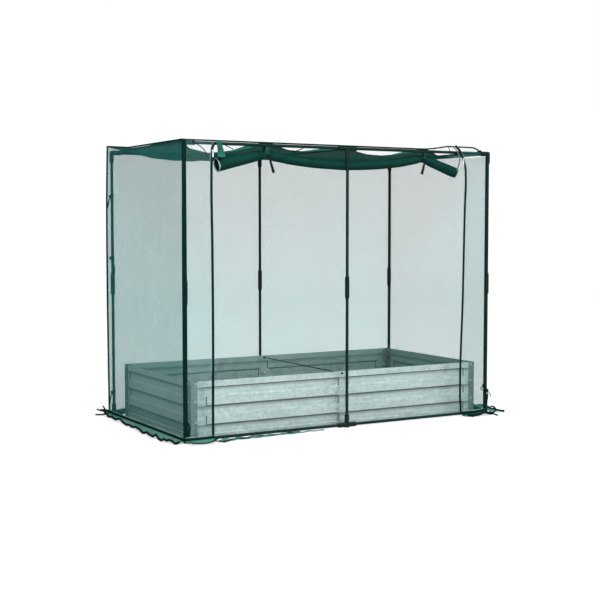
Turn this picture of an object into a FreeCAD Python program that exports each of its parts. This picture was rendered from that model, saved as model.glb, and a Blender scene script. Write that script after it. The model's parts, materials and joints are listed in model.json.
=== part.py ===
"""Crop cage over a raised bed: push-fit tube frame, net cover with a rolled-up zipped door, galvanised bed.

Frame of the part: +Z up, +X along the long side, the door side faces -Y, and the origin lies on the ground
at the centre of the plan. Millimetres throughout.
"""

import FreeCAD, Part
import Sketcher
import math
import os

V = FreeCAD.Vector
UPRIGHT = FreeCAD.Rotation()
ALONG_X = FreeCAD.Rotation(V(0, 1, 0), 90)
AGAINST_X = FreeCAD.Rotation(V(0, 1, 0), -90)
ALONG_Y = FreeCAD.Rotation(V(1, 0, 0), -90)
AGAINST_Y = FreeCAD.Rotation(V(1, 0, 0), 90)
DOWN = FreeCAD.Rotation(V(1, 0, 0), 180)
CENTRE = ("0", "0", "0")

DIMENSIONS = [
    ("frame_length", 1900, "between the corner post centre lines, along X"),
    ("frame_depth", 1000, "between the corner post centre lines, along Y"),
    ("frame_height", 1500, "centre line of the top rails above the ground"),
    ("tube_diameter", 16, "outside of every frame tube"),
    ("tube_wall", 0.8, "steel of a frame tube"),
    ("fitting_wall", 4, "plastic round a tube in its socket"),
    ("fitting_clearance", 0.15, "radial play of a tube in its socket"),
    ("fitting_stop", 14, "from a fitting's centre to the bottom of its sockets"),
    ("end_gap", 1, "between a tube's end and the bottom of its socket"),
    ("socket_length", 55, "from a fitting's centre to the mouth of its sockets"),
    ("foot_radius", 14, "round foot under a base fitting"),
    ("foot_lift", 2, "base fitting above the ground, filled by its foot"),
    ("coupler_length", 118, "sleeve that joins the halves of a post"),
    ("coupler_web", 4, "wall across the middle of a sleeve"),
    ("coupler_chamfer", 2, "at both ends of a sleeve"),
    ("bed_length", 1800, "outside of the raised bed's panels, along X"),
    ("bed_depth", 900, "outside of the raised bed's panels, along Y"),
    ("bed_height", 300, "panels and corner angles"),
    ("sheet", 0.8, "steel of the panels"),
    ("sheet_gap", 0.2, "between sheets that lie on each other"),
    ("rib_depth", 5, "a band stands this far out of or into the panel's plane"),
    ("rib_slope", 4, "run of a band's sloping walls"),
    ("rim_low", 26, "flat rim under the lowest band"),
    ("rim_top", 31.5, "flat rim over the highest band"),
    ("band_count", 5, "bands on each panel"),
    ("corner_margin", 70, "flat end of a panel at a corner"),
    ("rib_stagger", 13, "a band that stands out starts this much later than one that goes in"),
    ("joint_lap", 30, "overlap of two long panels at the middle"),
    ("joint_margin", 5, "from the overlap to the bands"),
    ("angle_sheet", 1.5, "steel of the corner angles"),
    ("angle_long_leg", 35, "leg on a long panel"),
    ("angle_short_leg", 50, "leg on a short panel"),
    ("bolt_inset", 24, "bolt line from the bed's corner"),
    ("bolt_low", 90, "height of the lowest bolts"),
    ("bolt_middle", 195, "height of the middle bolts"),
    ("bolt_top_drop", 12, "highest bolts and brace rod below the bed's top"),
    ("bolt_radius", 2.9, "shank"),
    ("bolt_hole_radius", 3.2, "in panels and angles"),
    ("bolt_head_radius", 6, "round head"),
    ("bolt_head_height", 3.4, "round head"),
    ("bolt_length", 13, "shank under the head"),
    ("nut_radius", 5.6, "across the corners, halved"),
    ("nut_height", 4.6, "hexagon nut"),
    ("nut_clearance", 0.1, "nut's bore round its shank, and nut off its sheet"),
    ("rod_radius", 2.5, "brace rod across the bed"),
    ("rod_hole_radius", 2.9, "in the long panels"),
    ("rod_overhang", 9, "rod past the panels, for its outer nuts"),
    ("cover_gap", 3, "net clear of the fittings"),
    ("net_thickness", 1.2, "stand-in solid for a net panel"),
    ("seam_gap", 0.4, "between neighbouring cover pieces"),
    ("net_hem_height", 2.5, "lower edge of the walls above the ground"),
    ("skirt_width", 100, "flap that lies on the ground round the cage"),
    ("skirt_thickness", 1.5, "flap with its hem"),
    ("door_left", 804, "centre line of the left zip from the middle"),
    ("door_right", 760, "centre line of the right zip from the middle"),
    ("zip_top_drop", 30, "upper end of a zip below the top rail's centre line"),
    ("zip_low_end", 30, "lower end of a zip above the ground"),
    ("tape_width", 12, "zip tape sewn to the fixed strip"),
    ("tape_thickness", 0.8, "zip tape"),
    ("chain_width", 3, "zip teeth"),
    ("chain_thickness", 2.4, "zip teeth"),
    ("slider_width", 11, "zip slider"),
    ("slider_height", 14, "zip slider"),
    ("slider_plate", 1.2, "each of a slider's plates"),
    ("slider_play", 0.35, "slider's plates off the teeth"),
    ("slider_post", 2, "divider between the plates, on the door's side of the teeth"),
    ("slider_top_gap", 2, "parked slider below the zip's upper end"),
    ("crown_width", 2.4, "loop on the slider's front"),
    ("crown_height", 8, "loop on the slider's front"),
    ("crown_reach", 4.2, "loop on the slider's front"),
    ("crown_wall", 1.4, "loop's own thickness"),
    ("pin_radius", 0.8, "pull's cross pin in the loop"),
    ("leg_gap", 0.8, "between the loop and the pull's legs"),
    ("leg_width", 1.6, "pull's legs"),
    ("pull_thickness", 1.2, "pull"),
    ("pull_length", 32, "from the pin to the pull's tip"),
    ("pull_slot", 9, "from the pin to the solid tab"),
    ("roll_radius", 27, "rolled-up door"),
    ("roll_post_gap", 1, "roll behind the middle post"),
    ("roll_left_end", 765, "roll's left end from the middle"),
    ("roll_right_end", 735, "roll's right end from the middle"),
    ("roll_left_drop", 109, "roll's centre line below the rail's, at its left end"),
    ("roll_middle_drop", 91, "the same, at the middle post"),
    ("roll_right_drop", 109, "the same, at its right end"),
    ("tie_left", 484, "left door tie from the middle"),
    ("tie_right", 514, "right door tie from the middle"),
    ("tie_left_drop", 47, "roll's centre line below the rail's, at the left tie"),
    ("tie_right_drop", 40, "the same, at the right tie"),
    ("roll_bend", 260, "radius of the roll's bends"),
    ("tie_width", 10, "tape of every tie"),
    ("tie_thickness", 1.2, "tape of every tie"),
    ("tie_play", 0.4, "tie off the tube it goes round"),
    ("roll_tie_play", 1.5, "door tie off the sloping roll"),
    ("post_tie_low", 130, "height of the lowest ties on the corner posts"),
    ("post_tie_middle", 900, "height of the next ties on the rear left post"),
    ("post_tie_high", 1250, "height of the highest ties on the rear left post"),
]

doc = FreeCAD.newDocument("crop_cage")
sheet = doc.addObject("Spreadsheet::Sheet", "dims")
for row, (alias, size, meaning) in enumerate(DIMENSIONS, start=1):
    sheet.set(f"A{row}", alias)
    sheet.set(f"B{row}", str(size))
    sheet.set(f"C{row}", meaning)
    sheet.setAlias(f"B{row}", alias)
doc.recompute()

# Places and sizes that follow from the driving dimensions, as expressions
HALF_LENGTH = "(dims.frame_length / 2)"
HALF_DEPTH = "(dims.frame_depth / 2)"
BORE_RADIUS = "(dims.tube_diameter / 2 + dims.fitting_clearance)"
FITTING_RADIUS = f"({BORE_RADIUS} + dims.fitting_wall)"
BASE_Z = f"({FITTING_RADIUS} + dims.foot_lift)"
TOP_Z = "dims.frame_height"
MIDDLE_Z = f"(({BASE_Z} + {TOP_Z}) / 2)"
TUBE_START = "(dims.fitting_stop + dims.end_gap)"
POST_HALF = f"({MIDDLE_Z} - {BASE_Z} - {TUBE_START} - dims.coupler_web / 2 - dims.end_gap)"
BED_X = "(dims.bed_length / 2)"
BED_Y = "(dims.bed_depth / 2)"
BAND_PITCH = "((dims.bed_height - dims.rim_low - dims.rim_top) / dims.band_count)"
LAP = "(dims.sheet + dims.sheet_gap)"
TOP_BOLT_Z = "(dims.bed_height - dims.bolt_top_drop)"
COVER_X = f"({HALF_LENGTH} + {FITTING_RADIUS} + dims.cover_gap)"
COVER_Y = f"({HALF_DEPTH} + {FITTING_RADIUS} + dims.cover_gap)"
COVER_Z = f"({TOP_Z} + {FITTING_RADIUS} + dims.cover_gap)"
NET = "dims.net_thickness"
WALL_HEIGHT = f"({COVER_Z} - dims.seam_gap - dims.net_hem_height)"
ZIP_TOP = f"({TOP_Z} - dims.zip_top_drop)"
ZIP_Y = f"({COVER_Y} + {NET} / 2)"
SLIDER_Z = f"({ZIP_TOP} - dims.slider_top_gap - dims.slider_height)"
PLATE_NEAR = "(dims.chain_thickness / 2 + dims.slider_play)"
PIN_OUT = f"({PLATE_NEAR} + dims.slider_plate + (dims.crown_reach - dims.crown_wall) / 2)"
PIN_UP = "(dims.slider_height / 2)"
ROLL_Y = f"(-{HALF_DEPTH} + dims.tube_diameter / 2 + dims.roll_post_gap + dims.roll_radius)"

subparts = []


def value(expression):
    """An expression's value now, for shapes that are worked out in this file."""
    return float(sheet.evalExpression(expression))


def bind(thing, **expressions):
    """Bind properties to expressions over the sheet."""
    for name, expression in expressions.items():
        thing.setExpression(name, expression)
    return thing


def pose(thing, place, turn=UPRIGHT):
    """Turn an object, then tie its base point to expressions."""
    thing.Placement = FreeCAD.Placement(V(), turn)
    for axis, expression in zip("xyz", place):
        if expression != "0":
            thing.setExpression(f"Placement.Base.{axis}", expression)
    return thing


def keep(thing, label):
    """Register a finished sub-part under the name of its node."""
    thing.Label = label
    subparts.append(thing)
    return thing


def box(name, size, place=CENTRE):
    block = doc.addObject("Part::Box", name)
    bind(block, Length=size[0], Width=size[1], Height=size[2])
    return pose(block, place)


def rod(name, radius, length, place=CENTRE, turn=UPRIGHT):
    cylinder = doc.addObject("Part::Cylinder", name)
    bind(cylinder, Radius=radius, Height=length)
    return pose(cylinder, place, turn)


def join(name, pieces):
    union = doc.addObject("Part::MultiFuse", name)
    union.Shapes = pieces
    return union


def cut(name, base, tool):
    difference = doc.addObject("Part::Cut", name)
    difference.Base = base
    difference.Tool = tool
    return difference


def copies(label, prototype, places):
    """One node of like solids: the prototype moved to each (point, rotation)."""
    doc.recompute()
    solids = []
    for point, turn in places:
        solid = prototype.Shape.copy()
        solid.Placement = FreeCAD.Placement(V(*point), turn).multiply(prototype.Placement)
        solids.append(solid)
    group = doc.addObject("Part::Feature", label)
    group.Shape = Part.makeCompound(solids)
    return keep(group, label)


def origin_plane(body, role):
    return next(plane for plane in body.Origin.OriginFeatures if plane.Role == role)


def tube(label, length, place, turn):
    """A frame tube: a ring drawn on the body's XY plane and padded to its length."""
    body = doc.addObject("PartDesign::Body", label)
    section = body.newObject("Sketcher::SketchObject", label + "_section")
    section.AttachmentSupport = [(origin_plane(body, "XY_Plane"), "")]
    section.MapMode = "FlatFace"
    rings = {
        "outer": "dims.tube_diameter / 2",
        "inner": "dims.tube_diameter / 2 - dims.tube_wall",
    }
    for ring, expression in rings.items():
        circle = section.addGeometry(Part.Circle(V(), V(0, 0, 1), value(expression)))
        section.addConstraint(Sketcher.Constraint("Coincident", circle, 3, -1, 1))
        radius = section.addConstraint(Sketcher.Constraint("Radius", circle, value(expression)))
        section.renameConstraint(radius, ring)
        section.setExpression(f"Constraints.{ring}", expression)
    pad = body.newObject("PartDesign::Pad", label + "_wall")
    pad.Profile = section
    bind(pad, Length=length)
    return keep(pose(body, place, turn), label)


def frame_tubes():
    """Posts in two halves, top rails in two spans, base rails in two spans, and the roof's crossbar."""
    columns = {"left": f"-{HALF_LENGTH}", "mid": "0", "right": HALF_LENGTH}
    rows = {"front": f"-{HALF_DEPTH}", "back": HALF_DEPTH}
    for row, y in rows.items():
        for column, x in columns.items():
            low = f"({BASE_Z} + {TUBE_START})"
            high = f"({MIDDLE_Z} + dims.coupler_web / 2 + dims.end_gap)"
            tube(f"post_{row}_{column}_lower", POST_HALF, (x, y, low), UPRIGHT)
            tube(f"post_{row}_{column}_upper", POST_HALF, (x, y, high), UPRIGHT)
    span = f"({HALF_LENGTH} - 2 * {TUBE_START})"
    depth_span = f"(dims.frame_depth - 2 * {TUBE_START})"
    for level, z in {"base": BASE_Z, "top": TOP_Z}.items():
        for row, y in rows.items():
            start = f"(-{HALF_LENGTH} + {TUBE_START})"
            tube(f"{level}_rail_{row}_left", span, (start, y, z), ALONG_X)
            tube(f"{level}_rail_{row}_right", span, (TUBE_START, y, z), ALONG_X)
        for column in ("left", "right"):
            start = f"(-{HALF_DEPTH} + {TUBE_START})"
            tube(f"{level}_rail_{column}", depth_span, (columns[column], start, z), ALONG_Y)
    tube("top_crossbar", depth_span, ("0", f"(-{HALF_DEPTH} + {TUBE_START})", TOP_Z), ALONG_Y)


def fitting(name, arms, bar=False, foot=False):
    """A moulded fitting about its own centre: a ball or a straight bar along X, arms out of it, a blind
    socket in every end, and a round foot on base fittings."""
    if bar:
        length = "(2 * dims.socket_length)"
        end = ("-dims.socket_length", "0", "0")
        solids = [rod(name + "_bar", FITTING_RADIUS, length, end, ALONG_X)]
    else:
        ball = doc.addObject("Part::Sphere", name + "_ball")
        solids = [bind(ball, Radius=FITTING_RADIUS)]
    for number, turn in enumerate(arms):
        solids.append(rod(f"{name}_arm_{number}", FITTING_RADIUS, "dims.socket_length", CENTRE, turn))
    if foot:
        solids.append(rod(name + "_foot", "dims.foot_radius", BASE_Z, ("0", "0", f"-{BASE_Z}")))
    bores = []
    for number, turn in enumerate(arms + ([ALONG_X, AGAINST_X] if bar else [])):
        axis = turn.multVec(V(0, 0, 1))
        start = [f"{round(along)} * dims.fitting_stop" if round(along) else "0" for along in axis]
        bores.append(rod(f"{name}_bore_{number}", BORE_RADIUS, "dims.socket_length", start, turn))
    return cut(name, join(name + "_solid", solids), join(name + "_bores", bores))


def fittings():
    """Corner fittings have three sockets; each one is the same moulding, turned about Z to its corner."""
    x, y = value(HALF_LENGTH), value(HALF_DEPTH)
    corners = [(x, y, 0), (-x, y, 90), (-x, -y, 180), (x, -y, 270)]
    sides = [(0, y, 180), (0, -y, 0)]
    levels = {
        "top": (value(TOP_Z), DOWN, False, [ALONG_Y]),
        "base": (value(BASE_Z), UPRIGHT, True, []),
    }
    for level, (z, post, foot, inward) in levels.items():
        corner = fitting(f"{level}_corner", [AGAINST_X, AGAINST_Y, post], foot=foot)
        spots = [((px, py, z), FreeCAD.Rotation(V(0, 0, 1), turn)) for px, py, turn in corners]
        copies(f"{level}_corner_fittings", corner, spots)
        middle = fitting(f"{level}_middle", [post] + inward, bar=True, foot=foot)
        spots = [((px, py, z), FreeCAD.Rotation(V(0, 0, 1), turn)) for px, py, turn in sides]
        copies(f"{level}_middle_fittings", middle, spots)


def post_couplers():
    """Sleeves over the joint of each post's halves, with a web inside and bevelled ends."""
    chamfer = "dims.coupler_chamfer"
    straight = f"(dims.coupler_length - 2 * {chamfer})"
    body = rod("coupler_body", FITTING_RADIUS, straight, ("0", "0", f"-{straight} / 2"))
    bevels = []
    for end, turn, side in (("low", DOWN, "-1"), ("high", UPRIGHT, "1")):
        bevel = doc.addObject("Part::Cone", f"coupler_bevel_{end}")
        bind(bevel, Radius1=FITTING_RADIUS, Radius2=f"{FITTING_RADIUS} - {chamfer}", Height=chamfer)
        bevels.append(pose(bevel, ("0", "0", f"{side} * {straight} / 2"), turn))
    depth = "((dims.coupler_length - dims.coupler_web) / 2)"
    bores = [
        rod("coupler_bore_high", BORE_RADIUS, depth, ("0", "0", "dims.coupler_web / 2")),
        rod("coupler_bore_low", BORE_RADIUS, depth, ("0", "0", "-dims.coupler_web / 2"), DOWN),
    ]
    sleeve = cut("coupler", join("coupler_solid", [body] + bevels), join("coupler_bores", bores))
    x, y, z = value(HALF_LENGTH), value(HALF_DEPTH), value(MIDDLE_Z)
    spots = [((px, py, z), UPRIGHT) for px in (-x, 0, x) for py in (-y, y)]
    copies("post_couplers", sleeve, spots)


def band(name, start, end, low, out, hollow):
    """A pressed band as a wedge in a panel's own frame: wide face in the sheet, narrow face out or in
    by the rib depth. The hollow one is the same shape moved by the sheet's thickness, to be cut away."""
    wedge = doc.addObject("Part::Wedge", name)
    wide = "0" if not hollow else "dims.sheet"
    narrow = f"({wide} + dims.rib_slope)"
    spans = {wide: {}, narrow: {}}
    for edge in spans:
        spans[edge] = {
            "low_x": f"({start} + {edge})",
            "high_x": f"({end} - {edge})",
            "low_z": f"({low} + {edge})",
            "high_z": f"({low} + {BAND_PITCH} - {edge})",
        }
    first, last = (narrow, wide) if out else (wide, narrow)
    bind(wedge, Xmin=spans[first]["low_x"], Xmax=spans[first]["high_x"])
    bind(wedge, Zmin=spans[first]["low_z"], Zmax=spans[first]["high_z"])
    bind(wedge, X2min=spans[last]["low_x"], X2max=spans[last]["high_x"])
    bind(wedge, Z2min=spans[last]["low_z"], Z2max=spans[last]["high_z"])
    if out:
        near = "-dims.rib_depth" if not hollow else "(dims.sheet - dims.rib_depth)"
        bind(wedge, Ymin=near, Ymax="dims.sheet" if hollow else "dims.sheet / 2")
    else:
        far = "dims.rib_depth" if hollow else "(dims.sheet + dims.rib_depth)"
        bind(wedge, Ymin="0" if hollow else "dims.sheet / 2", Ymax=far)
    return wedge


def bed_panel(label, length, margins, holes, place, turn):
    """A pressed panel in its own frame: X along it, Y into the bed, Z up. Its bands go in and out in
    turn, and the ones that stand out start later. margins are the flat ends; holes are (x, z, radius)."""
    solids = [box(label + "_plate", (length, "dims.sheet", "dims.bed_height"))]
    hollows = []
    through = "(3 * dims.sheet)"
    for number in range(round(value("dims.band_count"))):
        out = number % 2 == 1
        stagger = "dims.rib_stagger" if out else "0"
        start = f"({margins[0]} + {stagger})"
        end = f"({length} - {margins[1]} - {stagger})"
        low = f"(dims.rim_low + {number} * {BAND_PITCH})"
        solids.append(band(f"{label}_band_{number}", start, end, low, out, False))
        hollows.append(band(f"{label}_hollow_{number}", start, end, low, out, True))
    for number, (x, z, radius) in enumerate(holes):
        spot = (x, "-dims.sheet", z)
        hollows.append(rod(f"{label}_hole_{number}", radius, through, spot, ALONG_Y))
    panel = cut(label, join(label + "_solid", solids), join(label + "_hollows", hollows))
    return keep(pose(panel, place, turn), label)


def bed_panels():
    """Two lapped panels on each long side and one on each short side."""
    bolt_heights = ["dims.bolt_low", "dims.bolt_middle", TOP_BOLT_Z]
    hole = "dims.bolt_hole_radius"
    inset = f"(dims.bolt_inset - {LAP})"
    length = f"({BED_X} - {LAP} + dims.joint_lap / 2)"
    joint = "(dims.joint_lap + dims.joint_margin)"
    corner = f"(dims.corner_margin - {LAP})"
    middle = f"({length} - dims.joint_lap / 2)"
    lapped = [(inset, z, hole) for z in bolt_heights] + [(middle, z, hole) for z in bolt_heights[:2]]
    lapped.append((middle, TOP_BOLT_Z, "dims.rod_hole_radius"))
    mirrored = [(f"({length} - {x})", z, radius) for x, z, radius in lapped]
    about = FreeCAD.Rotation(V(0, 0, 1), 180)
    start = f"({BED_X} - {LAP})"
    lap_end = "dims.joint_lap / 2"
    near, far = BED_Y, f"({BED_Y} - {LAP})"
    spots = {
        "front_left": (f"-{start}", f"-{near}", "0"),
        "front_right": (f"-{lap_end}", f"-{far}", "0"),
        "back_right": (start, far, "0"),
        "back_left": (lap_end, near, "0"),
    }
    for side, spot in spots.items():
        turn = UPRIGHT if side.startswith("front") else about
        if side in ("front_left", "back_right"):
            bed_panel(f"bed_panel_{side}", length, (corner, joint), lapped, spot, turn)
        else:
            bed_panel(f"bed_panel_{side}", length, (joint, corner), mirrored, spot, turn)
    depth = "dims.bed_depth"
    ends = ["dims.bolt_inset", f"({depth} - dims.bolt_inset)"]
    holes = [(x, z, hole) for x in ends for z in bolt_heights]
    flat = "dims.corner_margin"
    left, right = FreeCAD.Rotation(V(0, 0, 1), -90), FreeCAD.Rotation(V(0, 0, 1), 90)
    bed_panel("bed_panel_left", depth, (flat, flat), holes, (f"-{BED_X}", BED_Y, "0"), left)
    bed_panel("bed_panel_right", depth, (flat, flat), holes, (BED_X, f"-{BED_Y}", "0"), right)


def corner_angles():
    """One angle outside and one inside each corner. The front left pair is made and the rest mirrored."""
    gap, steel, height = "dims.sheet_gap", "dims.angle_sheet", "dims.bed_height"
    offsets = {
        "outer": (f"(-{BED_X} - {gap} - {steel})", f"(-{BED_Y} - {gap} - {steel})"),
        "inner": (f"(-{BED_X} + {LAP})", f"(-{BED_Y} + 2 * {LAP})"),
    }
    for kind, (x, y) in offsets.items():
        reach_x = f"(-{BED_X} + dims.angle_long_leg - {x})"
        reach_y = f"(-{BED_Y} + dims.angle_short_leg - {y})"
        legs = [
            box(f"angle_{kind}_long_leg", (reach_x, steel, height), (x, y, "0")),
            box(f"angle_{kind}_short_leg", (steel, reach_y, height), (x, y, "0")),
        ]
        holes = []
        for number, z in enumerate(["dims.bolt_low", "dims.bolt_middle", TOP_BOLT_Z]):
            centre_x = f"(-{BED_X} + dims.bolt_inset)"
            centre_y = f"(-{BED_Y} + dims.bolt_inset)"
            depth = f"(3 * {steel})"
            radius = "dims.bolt_hole_radius"
            through_y = (centre_x, f"({y} - {steel})", z)
            through_x = (f"({x} - {steel})", centre_y, z)
            holes.append(rod(f"angle_{kind}_hole_y_{number}", radius, depth, through_y, ALONG_Y))
            holes.append(rod(f"angle_{kind}_hole_x_{number}", radius, depth, through_x, ALONG_X))
        bored = join(f"angle_{kind}_holes", holes)
        angle = cut(f"angle_{kind}", join(f"angle_{kind}_legs", legs), bored)
        doc.recompute()
        front_left = angle.Shape
        front_right = front_left.mirror(V(), V(1, 0, 0))
        rear = [shape.mirror(V(), V(0, 1, 0)) for shape in (front_left, front_right)]
        group = doc.addObject("Part::Feature", f"corner_angles_{kind}")
        group.Shape = Part.makeCompound([front_left.copy(), front_right] + rear)
        keep(group, f"bed_corner_angles_{kind}")


def hexagon_nut(name, height, corner, hole):
    """A nut about its own axis, standing on its face."""
    prism = doc.addObject("Part::Prism", name + "_prism")
    prism.Polygon = 6
    bind(prism, Circumradius=corner, Height=height)
    bore = rod(name + "_bore", hole, height)
    return cut(name, prism, bore)


def bed_fasteners():
    """Bolts from outside and nuts inside, at the corners and down the long sides' middle joints."""
    under_head = ("0", "0", "-dims.bolt_head_height")
    head = rod("bolt_head", "dims.bolt_head_radius", "dims.bolt_head_height", under_head)
    shank = rod("bolt_shank", "dims.bolt_radius", "dims.bolt_length")
    bolt = join("bolt", [head, shank])
    bore = "dims.bolt_radius + dims.nut_clearance"
    nut = hexagon_nut("nut", "dims.nut_height", "dims.nut_radius", bore)
    x, y = value(BED_X), value(BED_Y)
    inset = value("dims.bolt_inset")
    heights = [value("dims.bolt_low"), value("dims.bolt_middle"), value(TOP_BOLT_Z)]
    outside = value("dims.sheet_gap + dims.angle_sheet + dims.nut_clearance")
    inside = value("dims.angle_sheet + dims.nut_clearance")
    under_long = value(f"2 * {LAP}")
    under_short = value(LAP)
    bare = value("dims.nut_clearance")
    bolts, nuts = [], []
    for z in heights:
        for side in (-1, 1):
            long_turn = ALONG_Y if side < 0 else AGAINST_Y
            short_turn = ALONG_X if side < 0 else AGAINST_X
            for end in (-1, 1):
                spot_x, spot_y = end * (x - inset), end * (y - inset)
                bolts.append(((spot_x, side * (y + outside), z), long_turn))
                nuts.append(((spot_x, side * (y - under_long - inside), z), long_turn))
                bolts.append(((side * (x + outside), spot_y, z), short_turn))
                nuts.append(((side * (x - under_short - inside), spot_y, z), short_turn))
            if z < heights[-1]:
                bolts.append(((0, side * (y + bare), z), long_turn))
                nuts.append(((0, side * (y - under_long - bare), z), long_turn))
    copies("bed_bolts", bolt, bolts)
    copies("bed_nuts", nut, nuts)


def bed_brace():
    """A rod across the bed's middle, held by a nut on each face of the lapped panels."""
    length = "(dims.bed_depth + 2 * dims.rod_overhang)"
    start = ("0", f"-{length} / 2", TOP_BOLT_Z)
    keep(rod("bed_brace_rod", "dims.rod_radius", length, start, ALONG_Y), "bed_brace_rod")
    bore = "dims.rod_radius + dims.nut_clearance"
    nut = hexagon_nut("rod_nut", "dims.nut_height", "dims.nut_radius", bore)
    y, z = value(BED_Y), value(TOP_BOLT_Z)
    clear = value("dims.nut_clearance")
    outer, inner = y + clear, y - value(f"2 * {LAP}") - clear
    spots = []
    for side, out_turn, in_turn in ((-1, AGAINST_Y, ALONG_Y), (1, ALONG_Y, AGAINST_Y)):
        spots.append(((0, side * outer, z), out_turn))
        spots.append(((0, side * inner, z), in_turn))
    copies("bed_brace_nuts", nut, spots)


def net_panels():
    """The cover as flat closed stand-ins outside the fittings: a roof, three walls, two front strips."""
    gap, low = "dims.seam_gap", "dims.net_hem_height"
    outer_x, outer_y = f"({COVER_X} + {NET})", f"({COVER_Y} + {NET})"
    roof_size = (f"2 * {outer_x}", f"2 * {outer_y}", NET)
    keep(box("net_roof", roof_size, (f"-{outer_x}", f"-{outer_y}", COVER_Z)), "net_roof")
    for label, x in {"net_left": f"-{outer_x}", "net_right": COVER_X}.items():
        keep(box(label, (NET, f"2 * {outer_y}", WALL_HEIGHT), (x, f"-{outer_y}", low)), label)
    inner_x = f"({COVER_X} - {gap})"
    back_size = (f"2 * {inner_x}", NET, WALL_HEIGHT)
    keep(box("net_back", back_size, (f"-{inner_x}", COVER_Y, low)), "net_back")
    for side in ("left", "right"):
        strip = f"(dims.door_{side} + dims.tape_width + {gap})"
        strip_size = (f"({inner_x} - {strip})", NET, WALL_HEIGHT)
        x = f"-{inner_x}" if side == "left" else strip
        label = f"net_front_{side}"
        keep(box(label, strip_size, (x, f"-{outer_y}", low)), label)


def ground_skirt():
    """The flap on the ground, mitred where its pieces meet, with the doorway left open."""
    gap = value("dims.seam_gap")
    start_x = value(f"{COVER_X} + {NET}") + gap
    start_y = value(f"{COVER_Y} + {NET}") + gap
    end_x = start_x + value("dims.skirt_width")
    end_y = start_y + value("dims.skirt_width")
    upward = V(0, 0, value("dims.skirt_thickness"))
    side = [(-start_x, -start_y), (-end_x, -end_y), (-end_x, end_y), (-start_x, start_y)]
    back_start, back_end = start_x - gap, end_x - gap
    back = [(-back_start, start_y), (-back_end, end_y), (back_end, end_y), (back_start, start_y)]
    outlines = [side, [(-x, y) for x, y in side], back]
    for sign, door in ((-1, value("dims.door_left")), (1, value("dims.door_right"))):
        edge = [(door, -start_y), (door, -end_y), (back_end, -end_y), (back_start, -start_y)]
        outlines.append([(sign * x, y) for x, y in edge])
    solids = []
    for outline in outlines:
        corners = [V(x, y, 0) for x, y in outline]
        solids.append(Part.Face(Part.makePolygon(corners + corners[:1])).extrude(upward))
    skirt = doc.addObject("Part::Feature", "ground_skirt")
    skirt.Shape = Part.makeCompound(solids)
    keep(skirt, "ground_skirt")


def zips():
    """On each fixed strip a tape with its teeth, a slider parked at the top, and a pull that hangs on it."""
    for label, sign in (("left", -1), ("right", 1)):
        height = f"({ZIP_TOP} - dims.zip_low_end)"
        door = f"({sign} * dims.door_{label})"
        tape_x = door if sign > 0 else f"({door} - dims.tape_width)"
        tape_y = f"(-{ZIP_Y} - dims.tape_thickness / 2)"
        tape_size = ("dims.tape_width", "dims.tape_thickness", height)
        tape = box(f"tape_{label}", tape_size, (tape_x, tape_y, "dims.zip_low_end"))
        teeth_x = f"({door} - dims.chain_width / 2)"
        teeth_y = f"(-{ZIP_Y} - dims.chain_thickness / 2)"
        teeth_size = ("dims.chain_width", "dims.chain_thickness", height)
        teeth = box(f"teeth_{label}", teeth_size, (teeth_x, teeth_y, "dims.zip_low_end"))
        keep(join(f"zipper_{label}", [tape, teeth]), f"zipper_{label}")
        slider(label, door, sign)
        pull(label, door)


def slider(label, door, sign):
    """Two plates astride the teeth, a divider on the door's side of them, and a loop for the pull."""
    width, plate, height = "dims.slider_width", "dims.slider_plate", "dims.slider_height"
    left = f"({door} - {width} / 2)"
    front = f"(-{ZIP_Y} - {PLATE_NEAR} - {plate})"
    rear = f"(-{ZIP_Y} + {PLATE_NEAR})"
    size = (width, plate, height)
    if sign > 0:
        post_x = f"({door} - {width} / 2 + dims.slider_post / 2)"
    else:
        post_x = f"({door} + {width} / 2 - 1.5 * dims.slider_post)"
    crown_x = f"({door} - dims.crown_width / 2)"
    crown_y = f"({front} - dims.crown_reach)"
    crown_z = f"({SLIDER_Z} + ({height} - dims.crown_height) / 2)"
    crown_size = ("dims.crown_width", "dims.crown_reach", "dims.crown_height")
    window = (crown_x, f"({crown_y} + dims.crown_wall)", f"({crown_z} + dims.crown_wall)")
    window_size = (
        "dims.crown_width",
        "dims.crown_reach - dims.crown_wall",
        "dims.crown_height - 2 * dims.crown_wall",
    )
    post_size = ("dims.slider_post", f"({rear} - {front})", height)
    pieces = [
        box(f"slider_{label}_front", size, (left, front, SLIDER_Z)),
        box(f"slider_{label}_rear", size, (left, rear, SLIDER_Z)),
        box(f"slider_{label}_post", post_size, (post_x, front, SLIDER_Z)),
        box(f"slider_{label}_crown", crown_size, (crown_x, crown_y, crown_z)),
    ]
    hole = box(f"slider_{label}_window", window_size, window)
    keep(cut(f"zip_slider_{label}", join(f"slider_{label}_solid", pieces), hole), f"zip_slider_{label}")


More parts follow.
